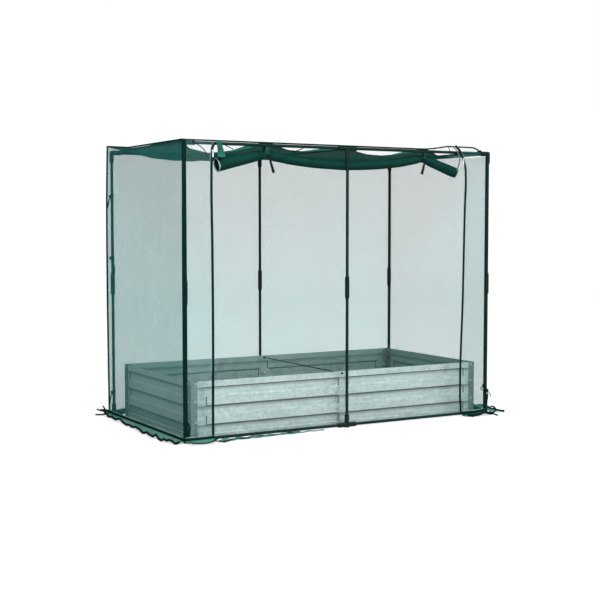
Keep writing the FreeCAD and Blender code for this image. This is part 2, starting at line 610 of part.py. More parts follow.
def pull(label, door):
    """A cross pin through the slider's loop, two legs beside the loop, and a tab with a finger hole."""
    reach = "(dims.crown_width / 2 + dims.leg_gap)"
    out = f"(-{ZIP_Y} - {PIN_OUT})"
    up = f"({SLIDER_Z} + {PIN_UP})"
    thickness, leg = "dims.pull_thickness", "dims.leg_width"
    span = f"(2 * ({reach} + {leg}))"
    rear = f"({out} - {thickness} / 2)"
    low_leg = f"({up} - dims.pull_slot)"
    leg_size = (leg, thickness, "dims.pull_slot")
    edge = f"({door} - {span} / 2)"
    pieces = [rod(f"pull_{label}_pin", "dims.pin_radius", span, (edge, out, up), ALONG_X)]
    for side, x in (("near", f"({door} - {reach} - {leg})"), ("far", f"({door} + {reach})")):
        pieces.append(box(f"pull_{label}_leg_{side}", leg_size, (x, rear, low_leg)))
    tab_z = f"({up} - dims.pull_length)"
    tab_size = (span, thickness, "dims.pull_length - dims.pull_slot")
    tab = box(f"pull_{label}_tab", tab_size, (edge, rear, tab_z))
    eye = (door, rear, f"({tab_z} + {span} / 2)")
    hole = rod(f"pull_{label}_eye", f"{span} / 4", thickness, eye, ALONG_Y)
    solid = join(f"pull_{label}_solid", pieces + [tab])
    keep(cut(f"zip_pull_{label}", solid, hole), f"zip_pull_{label}")


def rounded_path(corners, radius):
    """A wire through flat corners: straight runs joined by tangent arcs, each within its own runs."""
    longest = 0.45
    edges = []
    start = corners[0]
    for before, corner, after in zip(corners, corners[1:], corners[2:]):
        arriving = (corner - before).normalize()
        leaving = (after - corner).normalize()
        turn = arriving.getAngle(leaving)
        shorter = min((corner - before).Length, (after - corner).Length)
        reach = min(radius * math.tan(turn / 2), longest * shorter)
        first, last = corner - arriving * reach, corner + leaving * reach
        inward = (leaving - arriving).normalize()
        arc_radius = reach / math.tan(turn / 2)
        centre = corner + inward * (arc_radius / math.cos(turn / 2))
        arc_middle = centre - inward * arc_radius
        edges.append(Part.LineSegment(start, first).toShape())
        edges.append(Part.Arc(first, arc_middle, last).toShape())
        start = last
    edges.append(Part.LineSegment(start, corners[-1]).toShape())
    return Part.Wire(edges)


def roll_route():
    """The roll's centre line: up to each tie, down at the middle and at both ends."""
    y, z = value(ROLL_Y), value(TOP_Z)
    spots = [
        (-value("dims.roll_left_end"), value("dims.roll_left_drop")),
        (-value("dims.tie_left"), value("dims.tie_left_drop")),
        (0, value("dims.roll_middle_drop")),
        (value("dims.tie_right"), value("dims.tie_right_drop")),
        (value("dims.roll_right_end"), value("dims.roll_right_drop")),
    ]
    return rounded_path([V(x, y, z - drop) for x, drop in spots], value("dims.roll_bend"))


def door_roll():
    """The rolled-up door: a round bar of net, held up by two ties and sagging at its middle and ends."""
    route = roll_route()
    start = route.Edges[0]
    end, tangent = start.valueAt(start.FirstParameter), start.tangentAt(start.FirstParameter)
    ring = Part.Wire(Part.makeCircle(value("dims.roll_radius"), end, tangent))
    roll = doc.addObject("Part::Feature", "door_roll")
    roll.Shape = route.makePipeShell([ring], True, False)
    keep(roll, "door_roll")


def belt_face(centre_a, radius_a, centre_b, radius_b):
    """A flat face in the YZ plane, bounded by two circles' far sides and the lines that touch both."""
    line = centre_b - centre_a
    distance = line.Length
    along = line * (1 / distance)
    across = V(0, -along.z, along.y)
    lean = math.asin((radius_a - radius_b) / distance)
    touch = [along * math.sin(lean) + across * (side * math.cos(lean)) for side in (1, -1)]
    a_near, a_far = (centre_a + spoke * radius_a for spoke in touch)
    b_near, b_far = (centre_b + spoke * radius_b for spoke in touch)
    edges = [
        Part.Arc(a_far, centre_a - along * radius_a, a_near).toShape(),
        Part.LineSegment(a_near, b_near).toShape(),
        Part.Arc(b_near, centre_b + along * radius_b, b_far).toShape(),
        Part.LineSegment(b_far, a_far).toShape(),
    ]
    return Part.Face(Part.Wire(edges))


def door_ties():
    """Tapes round the top rail and the rolled door, turning with it about the rail's centre line."""
    play, tape = value("dims.tie_play"), value("dims.tie_thickness")
    width = value("dims.tie_width")
    rail_radius = value("dims.tube_diameter / 2") + play
    roll_radius = value("dims.roll_radius + dims.roll_tie_play")
    rail = V(0, -value(HALF_DEPTH), value(TOP_Z))
    route = roll_route()
    solids = []
    for x in (-value("dims.tie_left"), value("dims.tie_right")):
        plumb = Part.LineSegment(V(x, value(ROLL_Y), 0), V(x, value(ROLL_Y), rail.z)).toShape()
        crossing = route.distToShape(plumb)[1][0][0]
        roll = V(0, crossing.y, crossing.z)
        outer = belt_face(rail, rail_radius + tape, roll, roll_radius + tape)
        inner = belt_face(rail, rail_radius, roll, roll_radius)
        belt = outer.cut(inner).extrude(V(width, 0, 0))
        belt.translate(V(x - width / 2, 0, 0))
        solids.append(belt)
    ties = doc.addObject("Part::Feature", "door_ties")
    ties.Shape = Part.makeCompound(solids)
    keep(ties, "door_ties")


def post_ties():
    """Loops of tape that hold the cover to the posts."""
    bore = "(dims.tube_diameter / 2 + dims.tie_play)"
    band_solid = rod("post_tie_solid", f"({bore} + dims.tie_thickness)", "dims.tie_width")
    loop = cut("post_tie", band_solid, rod("post_tie_bore", bore, "dims.tie_width"))
    x, y = value(HALF_LENGTH), value(HALF_DEPTH)
    low, middle, high = (value(f"dims.post_tie_{level}") for level in ("low", "middle", "high"))
    spots = [((px, py, low), UPRIGHT) for px in (-x, x) for py in (-y, y)]
    spots += [((-x, y, z), UPRIGHT) for z in (middle, high)]
    copies("post_ties", loop, spots)


def check_document():
    """Stop if any object failed to recompute, or a sub-part has no sound solid."""
    for thing in doc.Objects:
        if "Invalid" in thing.State or "Error" in thing.State:
            raise RuntimeError(f"{thing.Label} failed: {thing.State}")
    for thing in subparts:
        if thing.Shape.isNull() or not thing.Shape.isValid() or not thing.Shape.Solids:
            raise RuntimeError(f"{thing.Label} has no sound solid")


frame_tubes()
fittings()
post_couplers()
bed_panels()
corner_angles()
bed_fasteners()
bed_brace()
net_panels()
ground_skirt()
zips()
door_roll()
door_ties()
post_ties()
doc.recompute()
check_document()

os.makedirs("parts", exist_ok=True)
for subpart in subparts:
    subpart.Shape.exportStep(os.path.join("parts", subpart.Label + ".step"))
    print(f"{subpart.Label}: {len(subpart.Shape.Solids)} solids, {subpart.Shape.Volume / 1000:.1f} cm3")
print(len(subparts), "nodes")
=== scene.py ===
"""Looks of the netted crop cage: net cover, rolled-up door, zips, ties and skirt, and a material for every CAD part.

Metres throughout, in the frame of the CAD part: +X along the long side, the door side faces -Y, Z is up from the
ground. Places come from the boxes of the CAD nodes. Every new piece is a grid of points worked out by numpy: a
surface over two values, or an outline swept along a path.
"""

import json
import math

import bpy
import numpy as np
from bpy.props import FloatProperty, IntProperty
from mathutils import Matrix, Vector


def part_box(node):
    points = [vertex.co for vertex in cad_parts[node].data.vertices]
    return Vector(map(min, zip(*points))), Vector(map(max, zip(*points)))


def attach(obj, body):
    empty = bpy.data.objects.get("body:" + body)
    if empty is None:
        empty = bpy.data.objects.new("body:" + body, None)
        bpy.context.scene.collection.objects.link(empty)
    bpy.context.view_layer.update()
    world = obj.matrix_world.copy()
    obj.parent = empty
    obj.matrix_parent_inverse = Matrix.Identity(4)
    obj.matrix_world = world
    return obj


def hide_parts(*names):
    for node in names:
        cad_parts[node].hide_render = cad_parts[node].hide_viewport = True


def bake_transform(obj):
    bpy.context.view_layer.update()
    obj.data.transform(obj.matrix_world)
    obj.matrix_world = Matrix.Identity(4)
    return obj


bl_info = {
    "name": "Crop cage looks",
    "version": (1, 0, 0),
    "blender": (4, 5, 0),
    "location": "View3D > Sidebar > Crop cage",
    "description": "Builds the cover, the rolled door, the trims and the materials of a netted crop cage",
    "category": "Object",
}

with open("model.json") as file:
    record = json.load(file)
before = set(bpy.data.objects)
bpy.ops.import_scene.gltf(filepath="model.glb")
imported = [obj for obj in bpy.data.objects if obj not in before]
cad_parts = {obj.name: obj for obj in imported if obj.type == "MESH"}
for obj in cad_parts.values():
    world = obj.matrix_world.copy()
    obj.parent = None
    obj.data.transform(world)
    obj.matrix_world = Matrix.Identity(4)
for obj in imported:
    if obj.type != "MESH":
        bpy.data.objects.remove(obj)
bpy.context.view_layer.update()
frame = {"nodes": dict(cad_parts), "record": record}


def span(node):
    """The lowest and highest corner of a CAD node, as arrays."""
    low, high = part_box(node)
    return np.array(low), np.array(high)


def middle(node):
    """The centre of a CAD node's box."""
    low, high = span(node)
    return (low + high) / 2


COVER_LOW, COVER_HIGH = span("net_roof")
LEFT, FRONT = COVER_LOW[:2]
RIGHT, BACK, TOP = COVER_HIGH
RAIL = middle("top_rail_front_left")
RAIL_RADIUS = np.ptp(span("top_rail_front_left"), axis=0)[2] / 2
POST_X = middle("post_front_right_lower")[0]
POST_Y = middle("post_back_right_lower")[1]
ZIP_LEFT = middle("zip_slider_left")[0]
ZIP_RIGHT = middle("zip_slider_right")[0]
ZIP_Y = FRONT - 0.0008
ROLL_LOW, ROLL_HIGH = span("door_roll")
TIE_LOW, TIE_HIGH = span("door_ties")
TIE_HALF_WIDTH = 0.005
TIE_LEFT = TIE_LOW[0] + TIE_HALF_WIDTH
TIE_RIGHT = TIE_HIGH[0] - TIE_HALF_WIDTH
ROLL_Y = (ROLL_LOW[1] + ROLL_HIGH[1]) / 2
SKIRT_HIGH = span("ground_skirt")[1]
# The bed's five bands of ribs start this far above the ground and end this far under the panel's top
BED_RIM_LOW = 0.026
BED_RIM_HIGH = 0.0315
BED_BAND = (span("bed_panel_left")[1][2] - BED_RIM_HIGH - BED_RIM_LOW) / 5

looks = {}


# Settings


class NetSettings(bpy.types.PropertyGroup):
    """How the net is knitted and how slack it hangs."""

    pitch: FloatProperty(name="Pitch", description="Thread to thread", default=0.0022, unit="LENGTH")
    thread: FloatProperty(name="Thread share", description="Thread width over pitch", default=0.21)
    slack: FloatProperty(name="Slack", description="Depth of the walls' folds", default=0.0045, unit="LENGTH")
    columns: IntProperty(name="Columns", description="Quads across a wall", default=150, min=8)
    rows: IntProperty(name="Rows", description="Quads up a wall", default=70, min=8)


class RollSettings(bpy.types.PropertyGroup):
    """The door net as it is wound up."""

    door_height: FloatProperty(name="Door height", description="Net wound into the roll", default=1.4, unit="LENGTH")
    core: FloatProperty(name="Core", description="Radius of the hollow in the roll", default=0.006, unit="LENGTH")
    turn_steps: IntProperty(name="Steps per turn", description="Points round each turn", default=22, min=8)
    rows: IntProperty(name="Rows", description="Rings along the roll", default=210, min=20)
    crease: FloatProperty(name="Crease", description="Depth of the long creases over radius", default=0.07)


class TrimSettings(bpy.types.PropertyGroup):
    """Bindings, tapes and zips."""

    binding_width: FloatProperty(name="Binding width", description="Folded binding", default=0.011, unit="LENGTH")
    binding_depth: FloatProperty(name="Binding depth", description="Its thickness", default=0.008, unit="LENGTH")
    tape_width: FloatProperty(name="Tie width", description="Tie tape", default=0.013, unit="LENGTH")
    tape_depth: FloatProperty(name="Tie depth", description="Tie tape's thickness", default=0.0016, unit="LENGTH")
    tooth_pitch: FloatProperty(name="Tooth pitch", description="Zip coil", default=0.003, unit="LENGTH")


class SkirtSettings(bpy.types.PropertyGroup):
    """The flap on the ground."""

    ripple: FloatProperty(name="Ripple", description="Height of its waves", default=0.015, unit="LENGTH")
    wave: FloatProperty(name="Wave", description="Length of its waves", default=0.15, unit="LENGTH")


class StageSettings(bpy.types.PropertyGroup):
    """Camera and light."""

    yaw: FloatProperty(name="Yaw", description="Camera's turn from +Y", default=math.radians(29.86), unit="ROTATION")
    pitch: FloatProperty(name="Pitch", description="Camera's tilt down", default=math.radians(3.6), unit="ROTATION")
    lens: FloatProperty(name="Lens", description="Focal length in millimetres", default=70.65)
    sky: FloatProperty(name="Sky", description="Strength of the white surroundings", default=1.0)
    key: FloatProperty(name="Key", description="Power of the large soft light, in watts", default=200.0)


CAMERA_PLACE = (-3.366, -5.854, 1.0875)


# Shader nodes


class Graph:
    """Short calls that add shader nodes to one tree. An input is a number, a tuple or another node's socket."""

    def __init__(self, tree):
        self.tree = tree
        self.tree.nodes.clear()

    def add(self, kind, inputs=None, **settings):
        node = self.tree.nodes.new("ShaderNode" + kind)
        for key, setting in settings.items():
            setattr(node, key, setting)
        for key, given in (inputs or {}).items():
            if isinstance(given, bpy.types.NodeSocket):
                self.tree.links.new(given, node.inputs[key])
            else:
                node.inputs[key].default_value = given
        return node

    def math(self, operation, first, second=0.0):
        return self.add("Math", {0: first, 1: second}, operation=operation).outputs[0]

    def remap(self, value, low, high, to_low=0.0, to_high=1.0):
        ends = {"Value": value, "From Min": low, "From Max": high, "To Min": to_low, "To Max": to_high}
        return self.add("MapRange", ends).outputs["Result"]

    def mix(self, share, first, second):
        """A colour from first to second."""
        node = self.add("Mix", data_type="RGBA")
        for index, given in ((0, share), (6, first), (7, second)):
            if isinstance(given, bpy.types.NodeSocket):
                self.tree.links.new(given, node.inputs[index])
            else:
                node.inputs[index].default_value = given
        return node.outputs[2]

    def noise(self, vector, scale, detail=3.0):
        return self.add("TexNoise", {"Vector": vector, "Scale": scale, "Detail": detail}).outputs["Fac"]

    def bump(self, height, distance, strength=0.5):
        node = self.add("Bump", {"Height": height, "Distance": distance, "Strength": strength})
        return node.outputs["Normal"]


def shared_group(name, inputs, outputs):
    """A new node group with its graph and its input and output nodes."""
    group = bpy.data.node_groups.new(name, "ShaderNodeTree")
    for socket, kind in inputs:
        group.interface.new_socket(name=socket, in_out="INPUT", socket_type=kind)
    for socket, kind in outputs:
        group.interface.new_socket(name=socket, in_out="OUTPUT", socket_type=kind)
    graph = Graph(group)
    return group, graph, graph.tree.nodes.new("NodeGroupInput"), graph.tree.nodes.new("NodeGroupOutput")


def threads_group():
    """Square mesh: 1 on a thread and 0 in a hole, with the threads a little uneven."""
    sockets = [("Vector", "NodeSocketVector"), ("Pitch", "NodeSocketFloat"), ("Thread", "NodeSocketFloat")]
    group, graph, given, result = shared_group("Net threads", sockets, [("Mask", "NodeSocketFloat")])
    density = graph.math("DIVIDE", 1.0, given.outputs["Pitch"])
    scaled = graph.add("VectorMath", {0: given.outputs["Vector"]}, operation="SCALE")
    graph.tree.links.new(density, scaled.inputs["Scale"])
    wander = graph.add("TexNoise", {"Vector": scaled.outputs[0], "Scale": 0.17, "Detail": 2.0})
    shift = graph.add("VectorMath", {0: wander.outputs["Color"], 1: (1.6, 1.6, 1.6)}, operation="MULTIPLY")
    moved = graph.add("VectorMath", {0: scaled.outputs[0], 1: shift.outputs[0]}, operation="ADD")
    cell = graph.add("VectorMath", {0: moved.outputs[0]}, operation="FRACTION")
    axes = graph.add("SeparateXYZ", {0: cell.outputs[0]})
    half = graph.math("MULTIPLY", given.outputs["Thread"], 0.5)
    inner = graph.math("SUBTRACT", 0.5, half)
    lines = []
    for axis in ("X", "Y"):
        offset = graph.math("ABSOLUTE", graph.math("SUBTRACT", axes.outputs[axis], 0.5))
        lines.append(graph.math("GREATER_THAN", offset, inner))
    graph.tree.links.new(graph.math("MAXIMUM", lines[0], lines[1]), result.inputs["Mask"])
    return group


def speckle_group():
    """Uneven colour at two sizes: a broad cloud and a fine grain, each from 0 to 1."""
    sockets = [("Vector", "NodeSocketVector"), ("Broad", "NodeSocketFloat"), ("Fine", "NodeSocketFloat")]
    ends = [("Cloud", "NodeSocketFloat"), ("Grain", "NodeSocketFloat")]
    group, graph, given, result = shared_group("Speckle", sockets, ends)
    cloud = graph.noise(given.outputs["Vector"], given.outputs["Broad"], 4.0)
    grain = graph.noise(given.outputs["Vector"], given.outputs["Fine"], 2.0)
    graph.tree.links.new(graph.remap(cloud, 0.3, 0.7), result.inputs["Cloud"])
    graph.tree.links.new(graph.remap(grain, 0.3, 0.7), result.inputs["Grain"])
    return group


def spangle_group():
    """Zinc crystals: a value for each cell, and a height that differs along the cells' edges."""
    ends = [("Cell", "NodeSocketFloat"), ("Height", "NodeSocketFloat")]
    group, graph, given, result = shared_group("Zinc spangle", [("Vector", "NodeSocketVector")], ends)
    bent = graph.add("TexNoise", {"Vector": given.outputs["Vector"], "Scale": 40.0, "Detail": 2.0})
    push = graph.add("VectorMath", {0: bent.outputs["Color"], 1: (0.012, 0.012, 0.012)}, operation="MULTIPLY")
    moved = graph.add("VectorMath", {0: given.outputs["Vector"], 1: push.outputs[0]}, operation="ADD")
    cells = graph.add("TexVoronoi", {"Vector": moved.outputs[0], "Scale": 75.0})
    tone = graph.add("SeparateColor", {0: cells.outputs["Color"]})
    graph.tree.links.new(tone.outputs[0], result.inputs["Cell"])
    graph.tree.links.new(cells.outputs["Distance"], result.inputs["Height"])
    return group


def new_look(slot, roughness, metallic=0.0, **constants):
    """An empty material with its principled shader, kept under the name of its slot."""
    material = bpy.data.materials.new(slot)
    material.use_nodes = True
    graph = Graph(material.node_tree)
    given = {"Roughness": roughness, "Metallic": metallic}
    given.update({key.replace("_", " "): setting for key, setting in constants.items()})
    shader = graph.add("BsdfPrincipled", given)
    output = graph.add("OutputMaterial")
    graph.tree.links.new(shader.outputs["BSDF"], output.inputs["Surface"])
    looks[slot] = material
    return graph, shader


def feed(graph, shader, **sources):
    for key, source in sources.items():
        graph.tree.links.new(source, shader.inputs[key.replace("_", " ")])


def place_of(graph):
    return graph.add("TexCoord").outputs["Object"]


def cloth_of(graph):
    return graph.add("UVMap", uv_map="cloth").outputs["UV"]


def group_node(graph, name, inputs):
    node = graph.add("Group", node_tree=bpy.data.node_groups[name])
    for key, given in inputs.items():
        if isinstance(given, bpy.types.NodeSocket):
            graph.tree.links.new(given, node.inputs[key])
        else:
            node.inputs[key].default_value = given
    return node


def coated_look(slot, dark, light, roughness, grain, depth):
    """Paint or moulded plastic: two close tones, a fine grain in the surface, and paler rubbed specks."""
    graph, shader = new_look(slot, roughness, Specular_IOR_Level=0.11)
    place = place_of(graph)
    speckle = group_node(graph, "Speckle", {"Vector": place, "Broad": 9.0, "Fine": grain})
    body = graph.mix(speckle.outputs["Cloud"], dark, light)
    scuffs = graph.remap(graph.noise(place, 55.0, 6.0), 0.76, 0.8)
    worn = tuple(min(1.0, 2.0 * part + 0.004) for part in light[:3]) + (1.0,)
    feed(
        graph,
        shader,
        Base_Color=graph.mix(scuffs, body, worn),
        Roughness=graph.remap(speckle.outputs["Cloud"], 0.0, 1.0, roughness - 0.06, roughness + 0.1),
        Normal=graph.bump(speckle.outputs["Grain"], depth, 0.35),
    )


def shadow_under_ribs(graph, place):
    """Painted shadow under the ribs: 1 just under each rib that stands out and under the top rim, fading to 0 a fifth
    of the way to the next.
    """
    height = graph.add("SeparateXYZ", {0: place}).outputs["Z"]
    gap = graph.math("SUBTRACT", BED_RIM_LOW + BED_BAND, height)
    share = graph.math("FRACT", graph.math("DIVIDE", gap, 2.0 * BED_BAND))
    return graph.remap(share, 0.05, 0.24, 1.0, 0.0)


def rib_wall_shade(graph):
    """Painted shade on the ribs' walls: 1 on the sloping walls of the ribs that face down or along the panel, 0 on its
    flat faces.
    """
    facing = graph.add("SeparateXYZ", {0: graph.add("NewGeometry").outputs["Normal"]})
    ends = graph.math("ABSOLUTE", graph.math("MULTIPLY", facing.outputs["X"], facing.outputs["Y"]))
    under = graph.math("MULTIPLY", facing.outputs["Z"], -1.0)
    return graph.math("MAXIMUM", graph.remap(ends, 0.1, 0.35), graph.remap(under, 0.3, 0.6))


def inner_face_shade(graph, place):
    """Painted shade, tinted green: 1 on the faces that look into the bed, and 0 on the outer ones."""
    level = graph.add("VectorMath", {0: place, 1: (1.0, 1.0, 0.0)}, operation="MULTIPLY")
    facing = graph.add("VectorMath", {0: level.outputs[0]}, operation="DOT_PRODUCT")
    graph.tree.links.new(graph.add("NewGeometry").outputs["Normal"], facing.inputs[1])
    return graph.remap(facing.outputs["Value"], -0.1, -0.3)


def zinc_look(slot, dark, light, rough, ribbed=False):
    """Hot-dip galvanised steel: crystals of slightly different grey, with dull streaks and small white bloom. With
    ribbed, the colour also carries painted shadow under the ribs and painted shade on the rib walls and on the faces
    looking into the bed.
    """
    graph, shader = new_look(slot, rough, metallic=0.75)
    place = place_of(graph)
    spangle = group_node(graph, "Zinc spangle", {"Vector": place})
    speckle = group_node(graph, "Speckle", {"Vector": place, "Broad": 3.0, "Fine": 160.0})
    crystals = graph.mix(spangle.outputs["Cell"], dark, light)
    stretched = graph.add("Mapping", {"Vector": place, "Scale": (2.0, 2.0, 30.0)})
    streaks = graph.remap(graph.noise(stretched.outputs["Vector"], 2.0, 5.0), 0.45, 0.75, 0.0, 0.35)
    streaks_and_shade = graph.mix(streaks, crystals, tuple(0.72 * part for part in dark[:3]) + (1.0,))
    if ribbed:
        # Painted shadow under the ribs and painted shade on the rib walls, darkening the zinc's colour
        rib_shade_mask = graph.math("MULTIPLY", shadow_under_ribs(graph, place), 0.66)
        rib_shade_mask = graph.math("MAXIMUM", rib_shade_mask, graph.math("MULTIPLY", rib_wall_shade(graph), 0.93))
        streaks_and_shade = graph.mix(rib_shade_mask, streaks_and_shade, tuple(0.2 * part for part in dark[:3]) + (1.0,))
        # Painted shade, tinted green, on the faces looking into the bed
        inner_shade_mask = graph.math("MULTIPLY", inner_face_shade(graph, place), 0.55)
        streaks_and_shade = graph.mix(inner_shade_mask, streaks_and_shade, (0.1, 0.24, 0.22, 1.0))
    bloom = graph.remap(speckle.outputs["Grain"], 0.86, 1.0, 0.0, 0.3)
    shine = graph.remap(spangle.outputs["Cell"], 0.0, 1.0, rough - 0.1, rough + 0.12)
    feed(
        graph,
        shader,
        Base_Color=graph.mix(bloom, streaks_and_shade, (0.85, 0.88, 0.88, 1.0)),
        Roughness=graph.math("ADD", shine, graph.math("MULTIPLY", speckle.outputs["Cloud"], 0.08)),
        Normal=graph.bump(spangle.outputs["Height"], 0.0004, 0.25),
    )


def net_look(slot, dark, light, pitch, thread, hole_cover, thread_cover=0.92):
    """Knitted net: threads with gaps between them. The covers are how much a thread or a gap hides."""
    graph, shader = new_look(slot, 0.8, Specular_IOR_Level=0.0)
    cloth = cloth_of(graph)
    threads = group_node(graph, "Net threads", {"Vector": cloth, "Pitch": pitch, "Thread": thread})
    speckle = group_node(graph, "Speckle", {"Vector": cloth, "Broad": 5.0, "Fine": 700.0})
    tone = graph.math("ADD", graph.math("MULTIPLY", speckle.outputs["Cloud"], 0.7),
                      graph.math("MULTIPLY", speckle.outputs["Grain"], 0.3))
    feed(
        graph,
        shader,
        Base_Color=graph.mix(tone, dark, light),
        Alpha=graph.remap(threads.outputs["Mask"], 0.0, 1.0, hole_cover, thread_cover),
        Normal=graph.bump(threads.outputs["Mask"], 0.0002, 0.4),
    )


def dense_cloth_look(slot, dark, light, pitch, depth=0.0004):
    """Several layers of net or a woven tape, closed to the eye: weave in the colour and in the surface."""
    graph, shader = new_look(slot, 0.75, Specular_IOR_Level=0.03)
    cloth = cloth_of(graph)
    threads = group_node(graph, "Net threads", {"Vector": cloth, "Pitch": pitch, "Thread": 0.45})
    speckle = group_node(graph, "Speckle", {"Vector": cloth, "Broad": 22.0, "Fine": 500.0})
    woven = graph.math("MULTIPLY", threads.outputs["Mask"], 0.55)
    tone = graph.math("ADD", woven, graph.math("MULTIPLY", speckle.outputs["Cloud"], 0.45))
    height = graph.math("ADD", threads.outputs["Mask"], graph.math("MULTIPLY", speckle.outputs["Grain"], 0.4))
    feed(
        graph,
        shader,
        Base_Color=graph.mix(tone, dark, light),
        Roughness=graph.remap(speckle.outputs["Cloud"], 0.0, 1.0, 0.65, 0.9),
        Normal=graph.bump(height, depth, 0.6),
    )


def plated_look(slot, dark, light, rough):
    """Plated or blackened steel with fine scratches."""
    graph, shader = new_look(slot, rough, metallic=1.0)
    place = place_of(graph)
    speckle = group_node(graph, "Speckle", {"Vector": place, "Broad": 60.0, "Fine": 900.0})
    stretched = graph.add("Mapping", {"Vector": place, "Scale": (900.0, 900.0, 40.0)})
    scratches = graph.noise(stretched.outputs["Vector"], 1.0, 2.0)
    feed(
        graph,
        shader,
        Base_Color=graph.mix(speckle.outputs["Cloud"], dark, light),
        Roughness=graph.remap(scratches, 0.3, 0.7, rough - 0.08, rough + 0.12),
        Normal=graph.bump(scratches, 0.00005, 0.3),
    )


def rgb(red, green, blue):
    return (red, green, blue, 1.0)


def make_looks(net):
    """Every material, one for each slot of the record."""
    threads_group()
    speckle_group()
    spangle_group()
    coated_look("tube_green", rgb(0.0022, 0.016, 0.013), rgb(0.004, 0.026, 0.021), 0.34, 1400.0, 0.00004)
    coated_look("fitting_plastic", rgb(0.002, 0.014, 0.011), rgb(0.004, 0.022, 0.017), 0.48, 2200.0, 0.00006)
    coated_look("coupler_plastic", rgb(0.002, 0.013, 0.011), rgb(0.004, 0.021, 0.017), 0.5, 2200.0, 0.00006)
    zinc_look("galvanised_panel", rgb(0.47, 0.61, 0.605), rgb(0.58, 0.72, 0.71), 0.38, ribbed=True)
    zinc_look("galvanised_angle", rgb(0.13, 0.22, 0.21), rgb(0.2, 0.3, 0.29), 0.45)
    plated_look("zinc_fastener", rgb(0.55, 0.58, 0.58), rgb(0.72, 0.74, 0.73), 0.3)
    plated_look("black_steel", rgb(0.012, 0.018, 0.017), rgb(0.03, 0.04, 0.038), 0.42)
    plated_look("zip_slider_metal", rgb(0.5, 0.53, 0.52), rgb(0.7, 0.72, 0.72), 0.28)
    plated_look("zip_pull_metal", rgb(0.78, 0.8, 0.8), rgb(0.92, 0.93, 0.93), 0.2)
    net_look("net_wall", rgb(0.01, 0.33, 0.32), rgb(0.03, 0.42, 0.41), net.pitch, net.thread, 0.16)
    net_look("net_roof", rgb(0.012, 0.1, 0.074), rgb(0.03, 0.16, 0.125), net.pitch, 0.5, 0.965, 0.995)
    net_look("skirt_fabric", rgb(0.03, 0.15, 0.12), rgb(0.07, 0.24, 0.2), net.pitch, 0.5, 0.75, 0.97)
    dense_cloth_look("net_rolled", rgb(0.002, 0.022, 0.018), rgb(0.006, 0.05, 0.04), net.pitch)
    dense_cloth_look("binding_tape", rgb(0.0008, 0.01, 0.008), rgb(0.003, 0.022, 0.018), 0.0011, 0.0002)
    dense_cloth_look("zip_tape", rgb(0.001, 0.01, 0.009), rgb(0.003, 0.022, 0.019), 0.0009, 0.0002)


def make_cover_variants(net):
    """Nets and tapes that differ from their slot's usual one: more open, more bunched or lighter. The left wall's
    darker net is painted shade, and the light lines on the zips and the roll's ends are painted highlights.
    """
    net_look("net_gathered", rgb(0.014, 0.1, 0.078), rgb(0.06, 0.24, 0.2), net.pitch, 0.5, 0.85)
    net_look("net_open", rgb(0.12, 0.3, 0.3), rgb(0.2, 0.4, 0.4), net.pitch, 0.06, 0.03)
    net_look("net_half", rgb(0.04, 0.2, 0.19), rgb(0.07, 0.26, 0.25), net.pitch, 0.05, 0.05)
    # The left wall's net: a darker, more open copy of the wall net, its darker colour painted shade
    net_look("net_side_shaded", rgb(0.025, 0.2, 0.185), rgb(0.05, 0.26, 0.245), net.pitch, 0.165, 0.1)
    dense_cloth_look("skirt_bunched", rgb(0.003, 0.03, 0.024), rgb(0.015, 0.08, 0.066), 0.002)
    dense_cloth_look("tie_tape", rgb(0.004, 0.03, 0.024), rgb(0.025, 0.1, 0.08), 0.0012, 0.0003)
    # Light lines: the hems' light cord, and along the zips and round the roll's ends a painted highlight on the zip
    # edges
    dense_cloth_look("light_cord_and_highlight", rgb(0.25, 0.4, 0.37), rgb(0.4, 0.56, 0.52), 0.001, 0.0002)


def dress_nodes():
    """Give every CAD node the material of its slot."""
    for subpart in frame["record"]["subparts"]:
        node = frame["nodes"][subpart["node"]]
        material = looks[subpart["material_slot"]]
        if node.material_slots:
            for slot in node.material_slots:
                slot.material = material
        else:
            node.data.materials.append(material)


# Meshes


def grid_corners(ids):
    """The four corners of each cell of a grid, in order."""
    cells = [ids[:-1, :-1], ids[:-1, 1:], ids[1:, 1:], ids[1:, :-1]]
    return np.stack(cells, axis=-1).reshape(-1, 4)


def patch(name, points, cloth, slot, body="cage", wrap=False):
    """A new piece from a grid of points. cloth holds each point's place on the flat cloth, in metres. With wrap the
    last column joins the first and both ends are closed; cloth then has one more column."""
    rows, columns = points.shape[:2]
    ids = np.arange(rows * columns).reshape(rows, columns)
    if wrap:
        ids = np.hstack([ids, ids[:, :1]])
    faces = grid_corners(ids).tolist()
    cloth_ids = grid_corners(np.arange(cloth.shape[0] * cloth.shape[1]).reshape(cloth.shape[:2]))
    places = cloth.reshape(-1, 2)[cloth_ids.ravel()]
    if wrap:
        faces += [ids[0, :columns][::-1].tolist(), ids[-1, :columns].tolist()]
        places = np.vstack([places, cloth[0, :columns][::-1], cloth[-1, :columns]])
    mesh = bpy.data.meshes.new(name)
    mesh.from_pydata(points.reshape(-1, 3).tolist(), [], faces)
    layer = mesh.uv_layers.new(name="cloth")
    layer.data.foreach_set("uv", places.astype(np.float32).ravel())
    mesh.shade_smooth()
    mesh.materials.append(looks[slot])
    piece = bpy.data.objects.new(name, mesh)
    bpy.context.scene.collection.objects.link(piece)
    if body:
        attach(piece, body)
    return piece


def thicken(piece, thickness):
    """Give a sheet its thickness, centred on its surface."""
    solid = piece.modifiers.new("thickness", "SOLIDIFY")
    solid.thickness = thickness
    solid.offset = 0.0
    return piece


